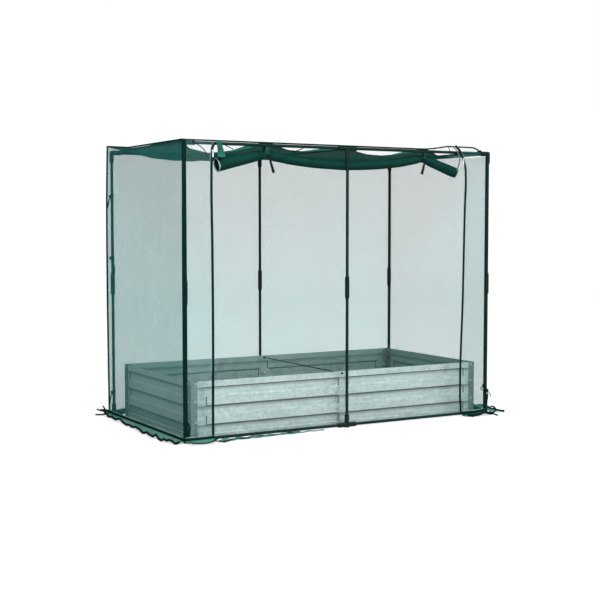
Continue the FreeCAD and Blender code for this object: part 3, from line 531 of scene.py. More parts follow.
def smooth_path(knots, step=0.004):
    """A smooth line through a few points: cubic pieces whose slope at a point is the mean of its neighbours'."""
    knots = np.array(knots, float)
    steps = np.linalg.norm(np.diff(knots, axis=0), axis=1)
    reach = np.concatenate([[0.0], np.cumsum(steps)])
    slopes = np.gradient(knots, reach, axis=0)
    at = np.linspace(0.0, reach[-1], max(3, int(reach[-1] / step) + 1))
    cell = np.clip(np.searchsorted(reach, at, side="right") - 1, 0, len(reach) - 2)
    width = (reach[cell + 1] - reach[cell])[:, None]
    t = (at - reach[cell])[:, None] / width
    ends = (2 * t**3 - 3 * t**2 + 1) * knots[cell] + (3 * t**2 - 2 * t**3) * knots[cell + 1]
    lean = (t**3 - 2 * t**2 + t) * slopes[cell] + (t**3 - t**2) * slopes[cell + 1]
    return ends + width * lean


def eased(at, knots, reach):
    """Values from a few (place, value) knots, averaged over a window so that the corners are rounded."""
    places, values = zip(*knots)
    window = np.linspace(-reach, reach, 15)
    return np.mean([np.interp(at + shift, places, values) for shift in window], axis=0)


def oval(width, depth, count=10, square=0.8):
    """A closed outline, anticlockwise, with corners that get squarer as square falls."""
    angle = np.linspace(0.0, 2.0 * np.pi, count, endpoint=False)
    across = np.sign(np.cos(angle)) * np.abs(np.cos(angle)) ** square
    up = np.sign(np.sin(angle)) * np.abs(np.sin(angle)) ** square
    return np.stack([across * width / 2, up * depth / 2], axis=1)


def sweep(name, path, outline, side, slot, body="cage", scale=None):
    """An outline carried along a path. side is the direction of the outline's first axis, one for the whole path or
    one for each point. scale widens or narrows the outline at each point."""
    tangent = np.gradient(path, axis=0)
    tangent /= np.linalg.norm(tangent, axis=1)[:, None]
    across = np.broadcast_to(np.asarray(side, float), path.shape)
    across = across - np.sum(across * tangent, axis=1)[:, None] * tangent
    across /= np.linalg.norm(across, axis=1)[:, None]
    up = np.cross(tangent, across)
    size = np.ones(len(path)) if scale is None else scale
    ring = outline[None] * size[:, None, None]
    points = path[:, None] + ring[..., :1] * across[:, None] + ring[..., 1:] * up[:, None]
    steps = np.linalg.norm(np.diff(path, axis=0), axis=1)
    along = np.concatenate([[0.0], np.cumsum(steps)])
    closed = np.vstack([outline, outline[:1]])
    around = np.concatenate([[0.0], np.cumsum(np.linalg.norm(np.diff(closed, axis=0), axis=1))])
    cloth = np.stack(np.broadcast_arrays(around[None, :], along[:, None]), axis=-1)
    return patch(name, points, cloth, slot, body, wrap=True)


# Cover

# At its front right corner the roof stops short of the post, and the walls pass behind the post
ROOF_RIGHT = [(FRONT, 0.885), (-0.485, 0.888), (-0.455, 0.93), (-0.4, 0.955), (-0.3, RIGHT - 0.003), (BACK, RIGHT)]
WALL_RIGHT = [(POST_X - 0.001, -POST_Y + 0.0125), (0.955, -0.46), (0.962, -0.35), (RIGHT, -0.1), (RIGHT, BACK)]
STRIP_RIGHT = [(ZIP_RIGHT + 0.004, FRONT), (0.885, FRONT + 0.001), (0.925, -0.503), WALL_RIGHT[0]]
UNDER_FITTING = 0.028
DOOR_SWING = math.radians(20)
BACK_LEFT_LIFT = 0.024
BACK_LEFT_REACH = 0.32
SEAM_Z = TOP - 0.003
FOLD_Y = RAIL[1] + RAIL_RADIUS + 0.0055
FOLD = [
    (LEFT, TOP - 0.002), (-0.945, 1.510), (-0.925, 1.474), (-0.8, 1.449), (-0.7, 1.461), (-0.6, 1.468),
    (TIE_LEFT - 0.026, 1.5145), (TIE_LEFT + 0.026, 1.5145), (-0.36, 1.482), (-0.24, 1.476), (-0.1, 1.488),
    (-0.03, 1.497), (0.0, 1.512), (0.03, 1.495), (0.13, 1.474), (0.27, 1.468), (0.4, 1.482),
    (TIE_RIGHT - 0.02, 1.5145), (TIE_RIGHT + 0.02, 1.5145), (0.6, 1.482), (0.72, 1.472), (0.86, 1.486), (RIGHT, 1.5),
]
FRONT_SEAM = [
    (LEFT, SEAM_Z), (0.5, SEAM_Z - 0.001), (0.56, SEAM_Z + 0.004), (0.66, SEAM_Z + 0.019), (0.84, SEAM_Z + 0.018),
    (0.872, SEAM_Z + 0.008), (0.882, SEAM_Z - 0.004), (RIGHT, SEAM_Z - 0.004),
]


def fold_height(x):
    """Where the roof net leaves the front valance, behind the rail: up on the ties and bar, down between them, and
    never in the way of the roll at the end of its swing."""
    centre = roll_centre(np.ravel(x))
    back, down = centre[:, 1] - RAIL[1], centre[:, 2] - RAIL[2]
    swung = RAIL[2] + down * math.cos(DOOR_SWING) + back * math.sin(DOOR_SWING) + roll_radius(centre[:, 0])
    return np.maximum(eased(x, FOLD, 0.012), swung.reshape(np.shape(x)) + 0.0045)


def right_edge(y):
    return eased(y, ROOF_RIGHT, 0.012)


def corner_lift(x, y):
    """The cover's rear left corner stands up from its fitting."""
    near_back = np.clip(1.0 - (BACK - y) / BACK_LEFT_REACH, 0.0, 1.0)
    near_left = np.exp(-np.clip(x - LEFT, 0.0, None) / 0.09)
    return BACK_LEFT_LIFT * near_back * near_left


def roof_points(across, depth):
    """The roof net. z = fold(x) + (top - fold(x)) * ease(depth) + corner lift, over the bar and side rails."""
    y = FOLD_Y + (BACK - FOLD_Y) * depth
    x = LEFT + (right_edge(y) - LEFT) * across
    fold = fold_height(x)
    rise = np.clip(depth, 0.0, 1.0) ** 0.9
    hollow = -0.058 * np.sin(np.pi * depth**2) * np.abs(np.sin(np.pi * x / POST_X)) ** 0.6
    over_bar = np.exp(-((x / 0.02) ** 2))
    z = fold + (TOP - 0.002 - fold) * np.maximum(rise, over_bar) + hollow + corner_lift(x, y)
    ripple = 0.0012 * np.sin(x * 61.0 + 3.0 * depth) * np.sin(np.pi * depth)
    return np.stack([x, y, z + ripple], axis=-1)


def even_grid(rows, columns):
    """Two grids, each from 0 to 1: across the columns and up the rows."""
    return np.meshgrid(np.linspace(0.0, 1.0, columns + 1), np.linspace(0.0, 1.0, rows + 1))


def wall_slack(across, up, slack, seed):
    """Soft upright folds, none at the seams, and a little more near the foot."""
    wander = 0.06 * np.sin(2.1 * np.pi * up + seed)
    broad = np.sin(2.0 * np.pi * (2.2 * across + wander + 0.13 * seed))
    fine = np.sin(2.0 * np.pi * (6.3 * across - 0.7 * wander + 0.37 * seed))
    edge = np.clip(8.0 * across * (1.0 - across), 0.0, 1.0) * np.clip(9.0 * (1.0 - up), 0.0, 1.0)
    return slack * edge * (0.7 * broad + 0.3 * fine) * (1.15 - 0.45 * up)


def wall(name, net, plan, node, seed, look="net_wall", lowered=None):
    """A wall net over a plan line, from the hem to the roof seam. Its folds go along the plan's normal."""
    columns = max(24, int(net.columns * min(1.0, np.ptp(plan, axis=0).max())))
    across, up = even_grid(net.rows, columns)
    steps = np.linalg.norm(np.diff(plan, axis=0), axis=1)
    along = np.concatenate([[0.0], np.cumsum(steps)])
    at = across[0] * along[-1]
    x, y = np.interp(at, along, plan[:, 0]), np.interp(at, along, plan[:, 1])
    tangent = np.stack([np.gradient(x), np.gradient(y)])
    tangent /= np.linalg.norm(tangent, axis=0)
    normal = np.stack([tangent[1], -tangent[0]])
    low, high = span(node)
    fold = wall_slack(across, up, net.slack * min(1.0, float(along[-1])), seed)
    top = SEAM_Z + corner_lift(x, y)
    if lowered is not None:
        top = top - UNDER_FITTING * lowered(x, y)
    z = low[2] + (top[None] - low[2]) * up
    points = np.stack([x[None] + fold * normal[0][None], y[None] + fold * normal[1][None], z], axis=-1)
    cloth = np.stack([across * along[-1], up * (SEAM_Z - low[2])], axis=-1)
    piece = patch(name, points, cloth, look)
    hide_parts(node)
    return piece


def build_roof(net):
    """The roof net, from the fold behind the front rail to the rear seam, and the valance over the front rail."""
    across, depth = even_grid(net.rows, 3 * net.columns // 2)
    points = roof_points(across, depth)
    size = (RIGHT - LEFT, BACK - FOLD_Y)
    cloth = np.stack([across * size[0], depth * size[1]], axis=-1)
    roof = patch("roof_net", points, cloth, "net_roof")
    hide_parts("net_roof")
    across, drop = even_grid(10, 3 * net.columns // 2)
    x = points[0, :, 0][None] + 0 * drop
    seam_z = eased(x, FRONT_SEAM, 0.006)
    seam_y = RAIL[1] - 0.004
    z = seam_z + (points[0, :, 2][None] - seam_z) * drop
    y = seam_y + (FOLD_Y - seam_y) * drop**0.3
    cloth = np.stack([across * size[0], drop * 0.045], axis=-1)
    valance = patch("front_valance", np.stack([x, y, z], axis=-1), cloth, "net_half")


def build_walls(net):
    """Back and side walls and the two fixed front strips."""
    deep = 0.006
    left = smooth_path([(LEFT - deep, BACK, 0), (LEFT - 0.002, 0, 0), (LEFT, FRONT, 0)], 0.02)[:, :2]
    back = smooth_path([(RIGHT, BACK, 0), (0, BACK - 0.001, 0), (LEFT - deep, BACK, 0)], 0.02)[:, :2]
    strip_left = np.array([(LEFT, FRONT), (ZIP_LEFT - 0.004, FRONT)])
    # The left wall takes the darker copy of the wall net: painted shade
    wall("wall_net_left", net, left, "net_left", 0.4, look="net_side_shaded")
    wall("wall_net_back", net, back, "net_back", 1.7)
    wall("wall_net_right", net, np.array(WALL_RIGHT), "net_right", 2.6,
         lowered=lambda x, y: np.clip((-0.1 - y) / 0.2, 0, 1))
    wall("strip_net_left", net, strip_left, "net_front_left", 3.1, look="net_open")
    wall("strip_net_right", net, np.array(STRIP_RIGHT), "net_front_right", 4.4,
         look="net_half", lowered=lambda x, y: np.clip((x - 0.87) / 0.03, 0, 1))


def hem_height():
    return span("net_left")[0][2] + 0.018


def build_upright_bindings(outline):
    """Binding on the four upright seams, and the front left one's second, flat edge."""
    hem = hem_height()
    uprights = {
        "back_left": [(LEFT - 0.004, BACK + 0.004, hem), (LEFT - 0.008, BACK + 0.006, 0.7),
                      (LEFT - 0.006, BACK + 0.004, 1.3), (LEFT - 0.002, BACK, SEAM_Z + BACK_LEFT_LIFT)],
        "back_right": [(RIGHT, BACK, hem), (RIGHT + 0.003, BACK + 0.002, 0.8), (RIGHT, BACK, SEAM_Z)],
        "front_left": [(LEFT - 0.001, FRONT, hem), (LEFT - 0.003, FRONT - 0.001, 0.8), (LEFT, FRONT, SEAM_Z)],
        "front_right": [(*WALL_RIGHT[0], hem), (*WALL_RIGHT[0], 0.7), (*WALL_RIGHT[0], SEAM_Z - UNDER_FITTING)],
    }
    for corner, knots in uprights.items():
        sweep(f"binding_{corner}", smooth_path(knots, 0.012), outline, (1, -1, 0), "binding_tape")
    corner = np.array([LEFT + 0.0095, FRONT - 0.0022])
    turned = smooth_path([(*corner, hem), (corner[0] + 0.001, corner[1], 0.8), (*corner, SEAM_Z)], 0.012)
    sweep("binding_front_left_flat", turned, oval(0.0145, 0.0022, 10, 0.5), (1, 0, 0), "binding_tape")


def build_roof_bindings(outline):
    """Binding on the four seams round the roof."""
    x = np.linspace(LEFT, 0.885, 400)
    front = np.stack([x, np.full_like(x, RAIL[1] - 0.004), eased(x, FRONT_SEAM, 0.006)], axis=1)
    sweep("binding_roof_front", front, outline, (0, 1, 0), "binding_tape")
    y = np.linspace(FRONT, BACK, 120)
    left_x = np.full_like(y, LEFT - 0.001)
    left = np.stack([left_x, y, SEAM_Z + corner_lift(left_x, y)], axis=1)
    sweep("binding_roof_left", left, outline, (1, 0, 0), "binding_tape")
    right = np.stack([right_edge(y), y, np.full_like(y, SEAM_Z)], axis=1)
    sweep("binding_roof_right", right, outline, (1, 0, 0), "binding_tape")
    x = np.linspace(LEFT, RIGHT, 200)
    back_y = np.full_like(x, BACK + 0.001)
    back = np.stack([x, back_y, SEAM_Z + corner_lift(x, back_y)], axis=1)
    sweep("binding_roof_back", back, outline, (0, 1, 0), "binding_tape")


def build_hems():
    """The hem at the foot of each wall and front strip, with its light cord on top."""
    hem = hem_height()
    thick = oval(0.014, 0.01, 8)
    strip = np.array(STRIP_RIGHT) - np.array([0.0, 0.003])
    strip[0, 0] += 0.008
    hems = {
        "left": [(LEFT - 0.003, FRONT, hem), (LEFT - 0.004, 0, hem), (LEFT - 0.004, BACK, hem)],
        "back": [(LEFT, BACK + 0.003, hem), (0, BACK + 0.003, hem), (RIGHT, BACK + 0.003, hem)],
        "right": [(x, y, hem) for x, y in reversed(WALL_RIGHT)],
        "front_left": [(LEFT, FRONT - 0.003, hem), (-0.88, FRONT - 0.005, hem), (ZIP_LEFT - 0.012, FRONT - 0.003, hem)],
        "front_right": [(x, y, hem) for x, y in strip],
    }
    for side, knots in hems.items():
        line = smooth_path(knots, 0.02)
        sweep(f"hem_{side}", line, thick, (0, 0, 1), "binding_tape")
        sweep(f"hem_cord_{side}", line + np.array([0, 0, 0.0095]), oval(0.0028, 0.0028, 6), (0, 0, 1), "light_cord_and_highlight")


def build_bindings(trim):
    """Dark binding on the cover's seams and hems."""
    outline = oval(trim.binding_width, trim.binding_depth, 10)
    build_upright_bindings(outline)
    build_roof_bindings(outline)
    build_hems()


# Rolled door

# Height of the roll's centre line below the front rail: up at the ties, down at the middle and both ends
ROLL_SAG = [
    (ROLL_LOW[0], 0.109), (TIE_LEFT, 0.044), (-0.34, 0.067), (-0.2, 0.082), (0.0, 0.0905), (0.2, 0.082),
    (0.36, 0.064), (TIE_RIGHT, 0.037), (ROLL_HIGH[0], 0.112),
]
ROLL_WIDTH = [
    (ROLL_LOW[0], 0.034), (-0.62, 0.029), (TIE_LEFT - 0.05, 0.025), (TIE_LEFT, 0.0195), (TIE_LEFT + 0.05, 0.024),
    (-0.2, 0.0235), (0.0, 0.0235), (0.25, 0.0245), (TIE_RIGHT - 0.05, 0.024), (TIE_RIGHT, 0.0175),
    (TIE_RIGHT + 0.05, 0.024), (ROLL_HIGH[0], 0.0275),
]


def roll_centre(x):
    """The roll's centre line behind the rail."""
    height = RAIL[2] - eased(x, ROLL_SAG, 0.022)
    return np.stack([x, np.full_like(x, ROLL_Y), height], axis=-1)


def roll_radius(x):
    return eased(x, ROLL_WIDTH, 0.015)


def build_roll(roll):
    """The door net wound on itself: radius grows from the core by one layer a turn, with creases that run slantwise
    and draw together at the ties. Each turn ends a little further in or out than the next."""
    length = np.linspace(ROLL_LOW[0] + 0.017, ROLL_HIGH[0], roll.rows)
    typical = float(np.mean(roll_radius(length)))
    turns = roll.door_height / (np.pi * (typical + roll.core))
    angle = np.linspace(0.0, 2.0 * np.pi * turns, int(turns * roll.turn_steps))
    x, wound = np.meshgrid(length, angle, indexing="ij")
    share = wound / angle[-1]
    ends = (np.clip((x - ROLL_HIGH[0]) / 0.05 + 1.0, 0, 1) - np.clip((ROLL_LOW[0] - x) / 0.05 + 1.0, 0, 1))
    x = x + 0.004 * ends * np.sin(2.3 * wound + 0.6) * (1 - 0.4 * share)
    near_tie = np.exp(-(((x - TIE_LEFT) / 0.05) ** 2)) + np.exp(-(((x - TIE_RIGHT) / 0.05) ** 2))
    start = 2.4
    theta = wound + start
    slant = np.sin(3.0 * theta + 14.0 * x) + 0.6 * np.sin(5.0 * theta - 9.0 * x + 1.1)
    gathers = np.sin(11.0 * theta + 3.0 * np.sin(20.0 * x))
    crease = roll.crease * (0.55 * slant + 0.9 * near_tie * gathers)
    grown = roll.core + (roll_radius(x) - roll.core) * share
    radius = grown * (1.0 - np.abs(crease) * share)
    centre = roll_centre(x)
    tilt = np.gradient(centre[:, 0, 2], length)[:, None]
    flat = 1.0 - 0.08 * np.cos(2.0 * theta)
    y = centre[..., 1] + radius * np.cos(theta) * (2.0 - flat)
    z = centre[..., 2] + radius * np.sin(theta) * flat
    points = np.stack([x - radius * np.sin(theta) * tilt, y, z], axis=-1)
    cloth = np.stack(np.broadcast_arrays(x, share * roll.door_height), axis=-1)
    door = patch("door_net_rolled", points, cloth, "net_rolled", "rolled_door")
    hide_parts("door_roll")
    # The zip edge round each end of the roll is drawn in the light colour: painted highlight on the zip edge
    for side, row in (("left", 0), ("right", -1)):
        rim = points[row, -int(2.2 * roll.turn_steps):]
        out = -1.0 if row == 0 else 1.0
        path = smooth_path(rim + np.array([out * 0.0015, 0, 0]), 0.003)
        sweep(f"roll_zip_edge_{side}", path, oval(0.0042, 0.003, 6), (1, 0, 0), "light_cord_and_highlight", "rolled_door",
              scale=1.0 + 0.18 * np.sin(np.arange(len(path)) * 1.9))
    return door


def belt_path(x, turns, gap):
    """A tape's line round the front rail and the roll: an oval whose ends hug both, drawn turn on turn."""
    roll = roll_centre(np.array([x]))[0]
    roll_size = float(roll_radius(np.array([x]))[0]) + gap
    rail_size = RAIL_RADIUS + gap
    angle = np.linspace(-0.5 * np.pi, (2.0 * turns - 0.5) * np.pi, int(48 * turns))
    down = 0.5 - 0.5 * np.sin(angle)
    centre_y = RAIL[1] + (roll[1] - RAIL[1]) * down
    centre_z = RAIL[2] + (roll[2] - RAIL[2]) * down
    size = rail_size + (roll_size - rail_size) * down
    y = centre_y + size * np.cos(angle)
    z = centre_z + size * np.sin(angle)
    spread = (np.arange(len(angle)) / len(angle) - 0.5) * 0.006
    return np.stack([x + spread, y, z], axis=1)


def build_door_ties(trim):
    """Tapes round the rail and the roll: one or two turns, a knot at the front, and hanging tails."""
    jobs = {
        "left": (TIE_LEFT, 2.0, 0.024, [(0.006, -0.012, -0.01), (0.016, -0.02, -0.05), (0.03, -0.024, -0.098)]),
        "right": (TIE_RIGHT, 1.5, 0.009, [(-0.004, -0.01, -0.01), (-0.014, -0.016, -0.04), (-0.03, -0.018, -0.09)]),
    }
    for side, (x, turns, width, tail) in jobs.items():
        loop = belt_path(x, turns, 0.0022)
        tape = oval(width, trim.tape_depth, 12, 0.5)
        wrinkled = 1.0 + 0.14 * np.sin(np.arange(len(loop)) * 0.55) * np.sin(np.arange(len(loop)) * 0.21)
        piece = sweep(f"door_tie_{side}", loop, tape, (1, 0, 0), "tie_tape", "rolled_door", wrinkled)
        front = np.array([x, roll_centre(np.array([x]))[0][1] - float(roll_radius(np.array([x]))[0]) - 0.003,
                          roll_centre(np.array([x]))[0][2] + 0.004])
        ring = np.linspace(0.0, 3.2 * np.pi, 50)
        knot = front + np.stack([0.0055 * np.cos(ring), -0.0015 - 0.0025 * np.sin(0.6 * ring),
                                 0.0055 * np.sin(ring)], axis=1)
        sweep(f"door_tie_{side}_knot", knot, oval(0.0085, 0.006, 8), (0, 1, 0), "tie_tape", "rolled_door")
        line = smooth_path([front] + [front + np.array(point) for point in tail], 0.004)
        narrow = np.linspace(0.7, 1.25, len(line))
        sweep(f"door_tie_{side}_tail", line, oval(0.0135, 0.006, 10, 0.7), (1, 0, 0.3), "binding_tape",
              "rolled_door", narrow)
        if side == "left":
            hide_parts("door_ties")


def build_gather():
    """The door's top left corner, gathered from the rail down to the parked slider: a pleated strip of net."""
    across, down = even_grid(60, 40)
    top = np.array([ZIP_LEFT + 0.035, RAIL[1] - RAIL_RADIUS - 0.0035, RAIL[2] + RAIL_RADIUS + 0.004])
    foot = np.array([ZIP_LEFT + 0.05, FRONT + 0.001, RAIL[2] - 0.068])
    width = 0.022 + 0.024 * down**1.3
    fade = np.sin(np.pi * np.clip(down + 0.12, 0, 1))
    pleats = 0.0042 * np.sin(across * 2.0 * np.pi * 4.5 + 0.5 * np.sin(6.0 * down)) * fade
    x = top[0] + (foot[0] - top[0]) * down + (across - 0.5) * width
    y = top[1] + (foot[1] - top[1]) * down**0.5 - 0.004 * np.sin(np.pi * down) + pleats
    z = top[2] + (foot[2] - top[2]) * down + 0.002 * np.sin(across * 9.0)
    cloth = np.stack([across * 0.05, down * 0.075], axis=-1)
    piece = thicken(patch("door_corner_gather", np.stack([x, y, z], axis=-1), cloth, "net_gathered"), 0.0012)


def build_slack_threads():
    """Four loose threads of the roof seam, seen against the valance."""
    slack = {
        "a": [(-0.916, FRONT - 0.001, 1.5055), (-0.885, FRONT - 0.002, 1.489), (-0.8586, FRONT - 0.002, 1.4708),
              (-0.835, FRONT - 0.002, 1.445)],
        "b": [(-0.757, RAIL[1] - 0.009, 1.502), (-0.7249, RAIL[1] - 0.006, 1.491), (-0.6801, RAIL[1] + 0.002, 1.474)],
        "c": [(-0.335, RAIL[1] + 0.004, 1.470), (-0.30, RAIL[1] - 0.004, 1.482), (-0.275, RAIL[1] - 0.009, 1.493)],
        "d": [(0.66, RAIL[1] - 0.012, 1.529), (0.672, RAIL[1] - 0.014, 1.5), (0.69, RAIL[1] - 0.012, 1.47)],
    }
    for label, knots in slack.items():
        sweep(f"slack_thread_{label}", smooth_path(knots, 0.004), oval(0.0045, 0.003, 8), (0, 0, 1), "binding_tape")


# Zips


def zip_path(side):
    """A zip's line: along the strip's edge with a little play, then out over the ground at the foot."""
    low = span(f"zipper_{side}")[0][2]
    if side == "left":
        parked = middle("zip_slider_left")[2]
        knots = [(ZIP_LEFT + 0.016, parked + 0.04), (ZIP_LEFT + 0.002, parked + 0.012), (ZIP_LEFT, parked - 0.012),
                 (ZIP_LEFT - 0.003, 1.31),
                 (ZIP_LEFT, 1.0), (ZIP_LEFT + 0.002, 0.5), (ZIP_LEFT, 0.15), (ZIP_LEFT, 0.05), (ZIP_LEFT, low - 0.008)]
        tail = [(ZIP_LEFT + 0.002, FRONT - 0.012, 0.009), (ZIP_LEFT + 0.014, FRONT - 0.045, 0.005),
                (ZIP_LEFT + 0.034, FRONT - 0.078, 0.004)]
    else:
        knots = [(ZIP_RIGHT - 0.06, 1.533), (ZIP_RIGHT - 0.03, 1.508), (ZIP_RIGHT - 0.006, 1.464),
                 (ZIP_RIGHT + 0.01, 1.421), (ZIP_RIGHT + 0.015, 1.356), (ZIP_RIGHT + 0.01, 1.19),
                 (ZIP_RIGHT + 0.001, 0.7), (ZIP_RIGHT - 0.013, 0.2), (ZIP_RIGHT - 0.012, 0.1),
                 (ZIP_RIGHT - 0.008, 0.05), (ZIP_RIGHT - 0.004, low - 0.008)]
        tail = [(ZIP_RIGHT + 0.002, FRONT - 0.012, 0.009), (ZIP_RIGHT + 0.02, FRONT - 0.04, 0.005),
                (ZIP_RIGHT + 0.04, FRONT - 0.068, 0.004)]
    upright = [(x, ZIP_Y, z) for x, z in knots]
    return smooth_path(upright + tail, 0.0025)


def build_zips(trim):
    """A tape on each strip, the coil of teeth on its edge, and a thin light line behind the coil, a painted highlight
    on the zip.
    """
    for side, out in (("left", -1.0), ("right", 1.0)):
        path = zip_path(side)
        tangent = np.gradient(path, axis=0)
        tangent /= np.linalg.norm(tangent, axis=1)[:, None]
        across = np.cross(tangent, (0.0, 1.0, 0.0))
        flat = np.abs(tangent[:, 2:]) < 0.5
        across = np.where(flat, np.cross(tangent, (0.0, 0.0, 1.0)), across)
        across /= np.linalg.norm(across, axis=1)[:, None]
        toward = np.sign(across[:, :1] + 1e-9) * out
        tape_line = path + across * toward * 0.006
        tape = sweep(f"zip_tape_{side}", tape_line, oval(0.012, 0.0009, 10, 0.4), across, "zip_tape")
        fine = smooth_path(path[::8], 0.00075)
        teeth = 1.0 + 0.22 * np.sign(np.sin(2.0 * np.pi * np.arange(len(fine)) * 0.00075 / trim.tooth_pitch))
        sweep(f"zip_coil_{side}", fine, oval(0.0052, 0.0026, 8), (1, 0, 0.2), "zip_tape", scale=teeth)
        # Painted highlight: a thin light line beside the coil, on the upper part of the zip
        upper = path[:, 2] > 0.35
        highlight_line = (path + across * toward * 0.0125 + np.array([0, -0.0008, 0]))[upper]
        sweep(f"zip_highlight_{side}", highlight_line, oval(0.0016, 0.0016, 6), across[upper], "light_cord_and_highlight")
        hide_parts(f"zipper_{side}")


def build_door_zip_edge():
    """The door's half of the right zip, from the roof seam down to the rolled door's end, with a thin light line on it
    that is a painted highlight.
    """
    end = roll_centre(np.array([ROLL_HIGH[0] - 0.006]))[0]
    knots = [(0.688, FRONT - 0.001, 1.529), (0.713, FRONT - 0.002, 1.51), (0.735, FRONT - 0.001, 1.478),
             (0.741, FRONT + 0.008, 1.45), (ROLL_HIGH[0] + 0.001, FRONT + 0.022, 1.423),
             (ROLL_HIGH[0] - 0.004, end[1] - 0.026, end[2] + 0.004)]
    path = smooth_path(knots, 0.003)
    bead = 1.0 + 0.15 * np.sin(np.arange(len(path)) * 1.7)
    piece = sweep("door_zip_edge", path, oval(0.006, 0.003, 8), (1, 0, 0.3), "zip_tape", None, bead)
    # Painted highlight: a thin light line along the door's zip edge
    light = sweep("door_zip_highlight", path + np.array([-0.004, -0.001, 0.0015]), oval(0.0018, 0.0018, 6), (1, 0, 0.3),
                  "light_cord_and_highlight", None)
    for half in (piece, light):
        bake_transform(half)


# Ties and skirt

SKIRT_GAP = 0.0008


def build_post_tie(trim, name, post, height, tails):
    """One tape: a tail, two turns round the post and net seam, and the other tail. A small knot covers the cross."""
    radius = RAIL_RADIUS + 0.0018
    turn = np.linspace(0.0, 4.0 * np.pi, 70)
    outward = np.arctan2(post[1], post[0])
    size = radius * (1.0 + 0.28 * np.clip(np.cos(turn - 0.4), 0, 1))
    ring = np.stack([post[0] + size * np.cos(turn + outward), post[1] + size * np.sin(turn + outward),
                     height + 0.009 * np.sin(0.5 * turn)], axis=1)
    face = np.array([np.cos(outward), np.sin(outward), 0.0])
    knot = np.array([post[0], post[1], height]) + face * radius * 1.35
    start = smooth_path([knot + np.array(point) for point in reversed(tails[0])] + [ring[0]], 0.004)
    finish = smooth_path([ring[-1]] + [knot + np.array(point) for point in tails[1]], 0.004)
    path = np.vstack([start[:-1], ring, finish[1:]])
    away = path - np.array([post[0], post[1], 0.0])
    away[:, 2] = 0.15 * np.linalg.norm(away[:, :2], axis=1)
    up = np.cross(away, np.gradient(path, axis=0))
    piece = sweep(f"post_tie_{name}", path, oval(trim.tape_width, trim.tape_depth, 10, 0.5), up, "binding_tape")
    curl = np.linspace(0.0, 3.4 * np.pi, 44)
    sideways = np.cross(face, (0, 0, 1))
    bow = knot + 0.0055 * (np.cos(curl)[:, None] * sideways + np.sin(curl)[:, None] * np.array([0, 0, 1.0]))
    bow = bow + 0.002 * np.sin(0.7 * curl)[:, None] * face
    sweep(f"post_tie_{name}_knot", bow, oval(0.0065, 0.0045, 8), face, "binding_tape")
    return piece


def build_post_ties(trim):
    """Ties on the corner posts near the ground, and two more up the rear left post."""
    low, high = span("post_ties")
    levels = {"low": low[2] + TIE_HALF_WIDTH, "high": high[2] - TIE_HALF_WIDTH, "middle": 0.9 + TIE_HALF_WIDTH}
    down_left = [(-0.004, -0.006, -0.012), (-0.012, -0.01, -0.04), (-0.02, -0.012, -0.07)]
    down_right = [(0.006, -0.006, -0.014), (0.02, -0.014, -0.05), (0.014, -0.018, -0.095)]
    short = [(0.004, 0.0, -0.006), (0.014, -0.002, -0.02), (0.02, -0.002, -0.036)]
    spots = {
        "front_left": ((-POST_X, -POST_Y), levels["low"], (down_right, short)),
        "front_right": ((POST_X, -POST_Y), levels["low"], (short, down_left)),
        "back_left": ((-POST_X, POST_Y), levels["low"], (down_left, short)),
        "back_right": ((POST_X, POST_Y), levels["low"], (short, down_right)),
        "back_left_middle": ((-POST_X, POST_Y), levels["middle"], (short, down_right)),
        "back_left_high": ((-POST_X, POST_Y), levels["high"], (short, down_left)),
    }
    for name, (post, height, tails) in spots.items():
        piece = build_post_tie(trim, name, post, height, tails)
        if name == "front_left":
            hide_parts("post_ties")


def skirt_grid(inner, outer, rows, columns, ripple, wave, seed):
    """A flap between two lines: it lies on the ground, rises to the hem inside, and waves along its outer edge."""
    along, out = even_grid(rows, columns)
    inner_at = np.stack([np.interp(along, np.linspace(0, 1, len(inner)), inner[:, axis]) for axis in (0, 1)], axis=-1)
    outer_at = np.stack([np.interp(along, np.linspace(0, 1, len(outer)), outer[:, axis]) for axis in (0, 1)], axis=-1)
    length = np.linalg.norm(inner[-1] - inner[0])
    phase = 2.0 * np.pi * along * length / wave + seed
    scallop = 0.07 * np.sin(phase) + 0.05 * np.sin(2.3 * phase + 1.0) - 0.06
    plan = inner_at + (outer_at - inner_at) * (out * (1.0 + scallop * out))[..., None]
    waves = 0.5 + 0.5 * np.sin(phase + 1.2 * out) * np.cos(0.31 * phase)
    z = 0.0055 + ripple * waves * out**1.6 + 0.012 * (1.0 - out) ** 3
    return np.concatenate([plan, z[..., None]], axis=-1)


def skirt_lines():
    """The inner and outer line of each flap on the ground."""
    x0, x1 = RIGHT + SKIRT_GAP, SKIRT_HIGH[0]
    y0, y1 = BACK + SKIRT_GAP, SKIRT_HIGH[1]
    inner_right = 0.872
    return {
        "left": ([(-x0, y0), (-x0, -y0)],
                 [(-x0 - 0.042, y0 - 0.02), (-x0 - 0.05, 0.28), (-x0 - 0.066, 0.0), (-x0 - 0.08, -0.28),
                  (-x0 - 0.076, -0.44), (-x0 - 0.04, -y0 - 0.02)]),
        "back": ([(x0, y0), (-x0, y0)], [(x1, y1 - 0.02), (-x0 - 0.03, y1 - 0.02)]),
        "right": ([(x0, -y0), (x0, y0)], [(x1 - 0.01, -y0 - 0.02), (x1 - 0.01, y1 - 0.02)]),
        "front_left": ([(-x0 + 0.004, -y0), (ZIP_LEFT, -y0)],
                       [(-x0 + 0.004, -y0 - 0.045), (-0.955, -y0 - 0.07), (-0.9, -y0 - 0.082),
                        (-0.84, -y0 - 0.082), (ZIP_LEFT - 0.004, -y0 - 0.06)]),
        "front_right": ([(ZIP_RIGHT, -y0), (inner_right, -y0), (POST_X, -y0)],
                        [(ZIP_RIGHT + 0.01, -y0 - 0.055), (inner_right, -y0 - 0.06), (POST_X, -y0 - 0.05)]),
    }


